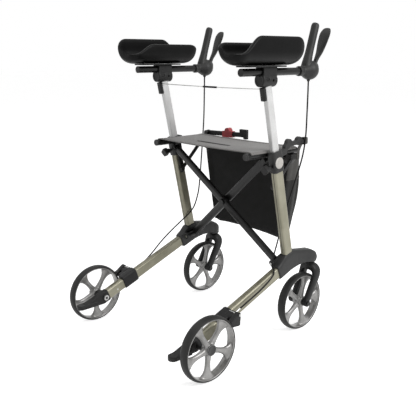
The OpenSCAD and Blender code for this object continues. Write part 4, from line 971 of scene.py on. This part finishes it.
# Brake cables. A steel cable in a black PVC sheath hangs from each handle and sweeps back along the lower
# tube to the adjuster on the brake sleeve, on the left inside the frame, on the right round the bag arm.
def tube(name, line, radius, sides, skin, body):
    """Round sheath along a line of points in metres, closed at both ends; its radius is in mm."""
    rings = []
    for i, spot in enumerate(line):
        run = (line[min(i + 1, len(line) - 1)] - line[max(i - 1, 0)]).normalized()
        across = (Vector((0, 1, 0)) if abs(run.y) < 0.9 else Vector((1, 0, 0))).cross(run).normalized()
        rings.append(oval(spot / mm, across, run.cross(across), radius, radius, 2, sides))
    shape = bmesh.new()
    loft(shape, rings)
    return made_of(name, shape, skin, body)


sheath = moulded("pvc_cable_sheath", "0b0b0b", "121212", 1.5, 0.04, (0.4, 0.55), 0,
                 {"IOR": 1.5, "Specular IOR Level": 0.15})
CABLE_R = 2.5
# Routes in mm, from the handle to the adjuster, with y measured outward.
CABLE_ROUTES = {
    "left": [(245, 244, 844.5), (244, 244, 790), (241, 244, 690), (233, 244, 595), (224, 240, 537),
             (217, 238, 485), (211, 236, 450), (200, 232, 410), (177, 228, 364), (149, 227, 338),
             (119, 228, 320), (65, 236, 282), (27, 248, 246), (0, 260, 212), (-35, 264, 184),
             (-73, 264, 167.2)],
    "right": [(245, 244, 844.5), (244, 245, 800), (237, 250, 740), (225, 258, 675), (217, 256, 615),
              (207, 246, 555), (192, 233, 485), (167, 224, 400), (145, 223, 335), (127, 225, 295),
              (111, 230, 268), (101, 240, 256), (93, 252, 250), (83, 261, 238), (55, 263, 220),
              (15, 264, 201), (-35, 264, 181.5), (-73, 264, 167.2)]}
for side, way in SIDES:
    line = curved([Vector((x, y * way, z)) * mm for x, y, z in CABLE_ROUTES[side]], 6)
    cable = tube(side + "_cable", line, CABLE_R, 10, sheath, None)
    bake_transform(cable)
    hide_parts(side + "_brake_cable")

# Tie wire. A thin stranded steel wire joins the two height tubes, with a black plastic sleeve over its
# joint near the middle.
WIRE_X, WIRE_Z, WIRE_END = 30.7 * mm, 825.8 * mm, 234.5 * mm
WIRE_SAG, SAG_END = 2 * mm, 234 * mm
WIRE_R, SLEEVE_R, SLEEVE_Y = 1.4, 3, (-58 * mm, 22 * mm)
wire_line = [Vector((WIRE_X, y, WIRE_Z - WIRE_SAG * (1 - (y / SAG_END) ** 2)))
             for y in spread(WIRE_END, -WIRE_END, 30)]
wire = tube("tie_wire_rope", wire_line, WIRE_R, 10, zinc, "left_support")
sleeve_line = [p for p in wire_line if SLEEVE_Y[0] < p.y < SLEEVE_Y[1]]
sleeve = tube("tie_wire_sleeve", sleeve_line, SLEEVE_R, 14, sheath, "left_support")
for soft in (wire, sleeve):
    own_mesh(soft)
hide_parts("tie_wire")


# Studio. A plain pale floor, a soft white world and large lamps; the camera stands at the right
# rear of the walker, where the photograph was taken.
def seen_directly(tree, low, high):
    """High for the eye and for reflections in metal, low for the light on the object."""
    path = add(tree, "LightPath").outputs
    seen = path["Is Camera Ray"]
    for ray in ("Is Glossy Ray", "Is Transmission Ray"):
        seen = add(tree, "Math", {0: seen, 1: path[ray]}, operation="MAXIMUM").outputs[0]
    return add(tree, "MapRange", {"Value": seen, "To Min": low, "To Max": high}).outputs[0]


FLOOR_HALF = 30
# Name, place, size and power of each lamp.
LAMPS = (("key", (0.8, -3.2, 2.6), 2.0, 104), ("top", (-0.2, 0.2, 3.6), 3.0, 34),
         ("left", (-2.6, 2.2, 1.8), 2.0, 6))
LAMP_AIM = Vector((0, 0, 0.5))
CAMERA_AT, CAMERA_AIM = Vector((-1.3425, -1.4944, 0.9268)), Vector((0.0374, 0, 0.4189))
floor_paint, tree, shader = start_finish("pale_floor", {"Roughness": 0.9, "Base Color": linear("fbfbfb"),
                                                        "Specular IOR Level": 0.1,
                                                        "Emission Color": (1, 1, 1, 1)})
tree.links.new(seen_directly(tree, 0.0, 0.64), shader.inputs["Emission Strength"])
corners = [(x * FLOOR_HALF, y * FLOOR_HALF, 0) for x, y in ((-1, -1), (1, -1), (1, 1), (-1, 1))]
floor = piece("floor", corners, [(0, 1, 2, 3)], floor_paint, None)

world = bpy.data.worlds.new("soft_white")
bpy.context.scene.world = world
world.use_nodes = True
background = world.node_tree.nodes["Background"]
background.inputs["Color"].default_value = (1, 1, 1, 1)
world.node_tree.links.new(seen_directly(world.node_tree, 0.34, 1.0), background.inputs["Strength"])

for name, place, size, power in LAMPS:
    lamp = bpy.data.lights.new(name, "AREA")
    lamp.size = size
    lamp.energy = power
    stand = bpy.data.objects.new(name, lamp)
    stand.location = place
    stand.rotation_euler = (LAMP_AIM - stand.location).to_track_quat("-Z", "Y").to_euler()
    bpy.context.scene.collection.objects.link(stand)

lens = bpy.data.cameras.new("camera")
lens.lens = 53.4
lens.sensor_width = 36
camera = bpy.data.objects.new("camera", lens)
camera.location = CAMERA_AT
camera.rotation_euler = (CAMERA_AIM - CAMERA_AT).to_track_quat("-Z", "Y").to_euler()
bpy.context.scene.collection.objects.link(camera)
bpy.context.scene.camera = camera
bpy.context.scene.view_settings.view_transform = "Standard"
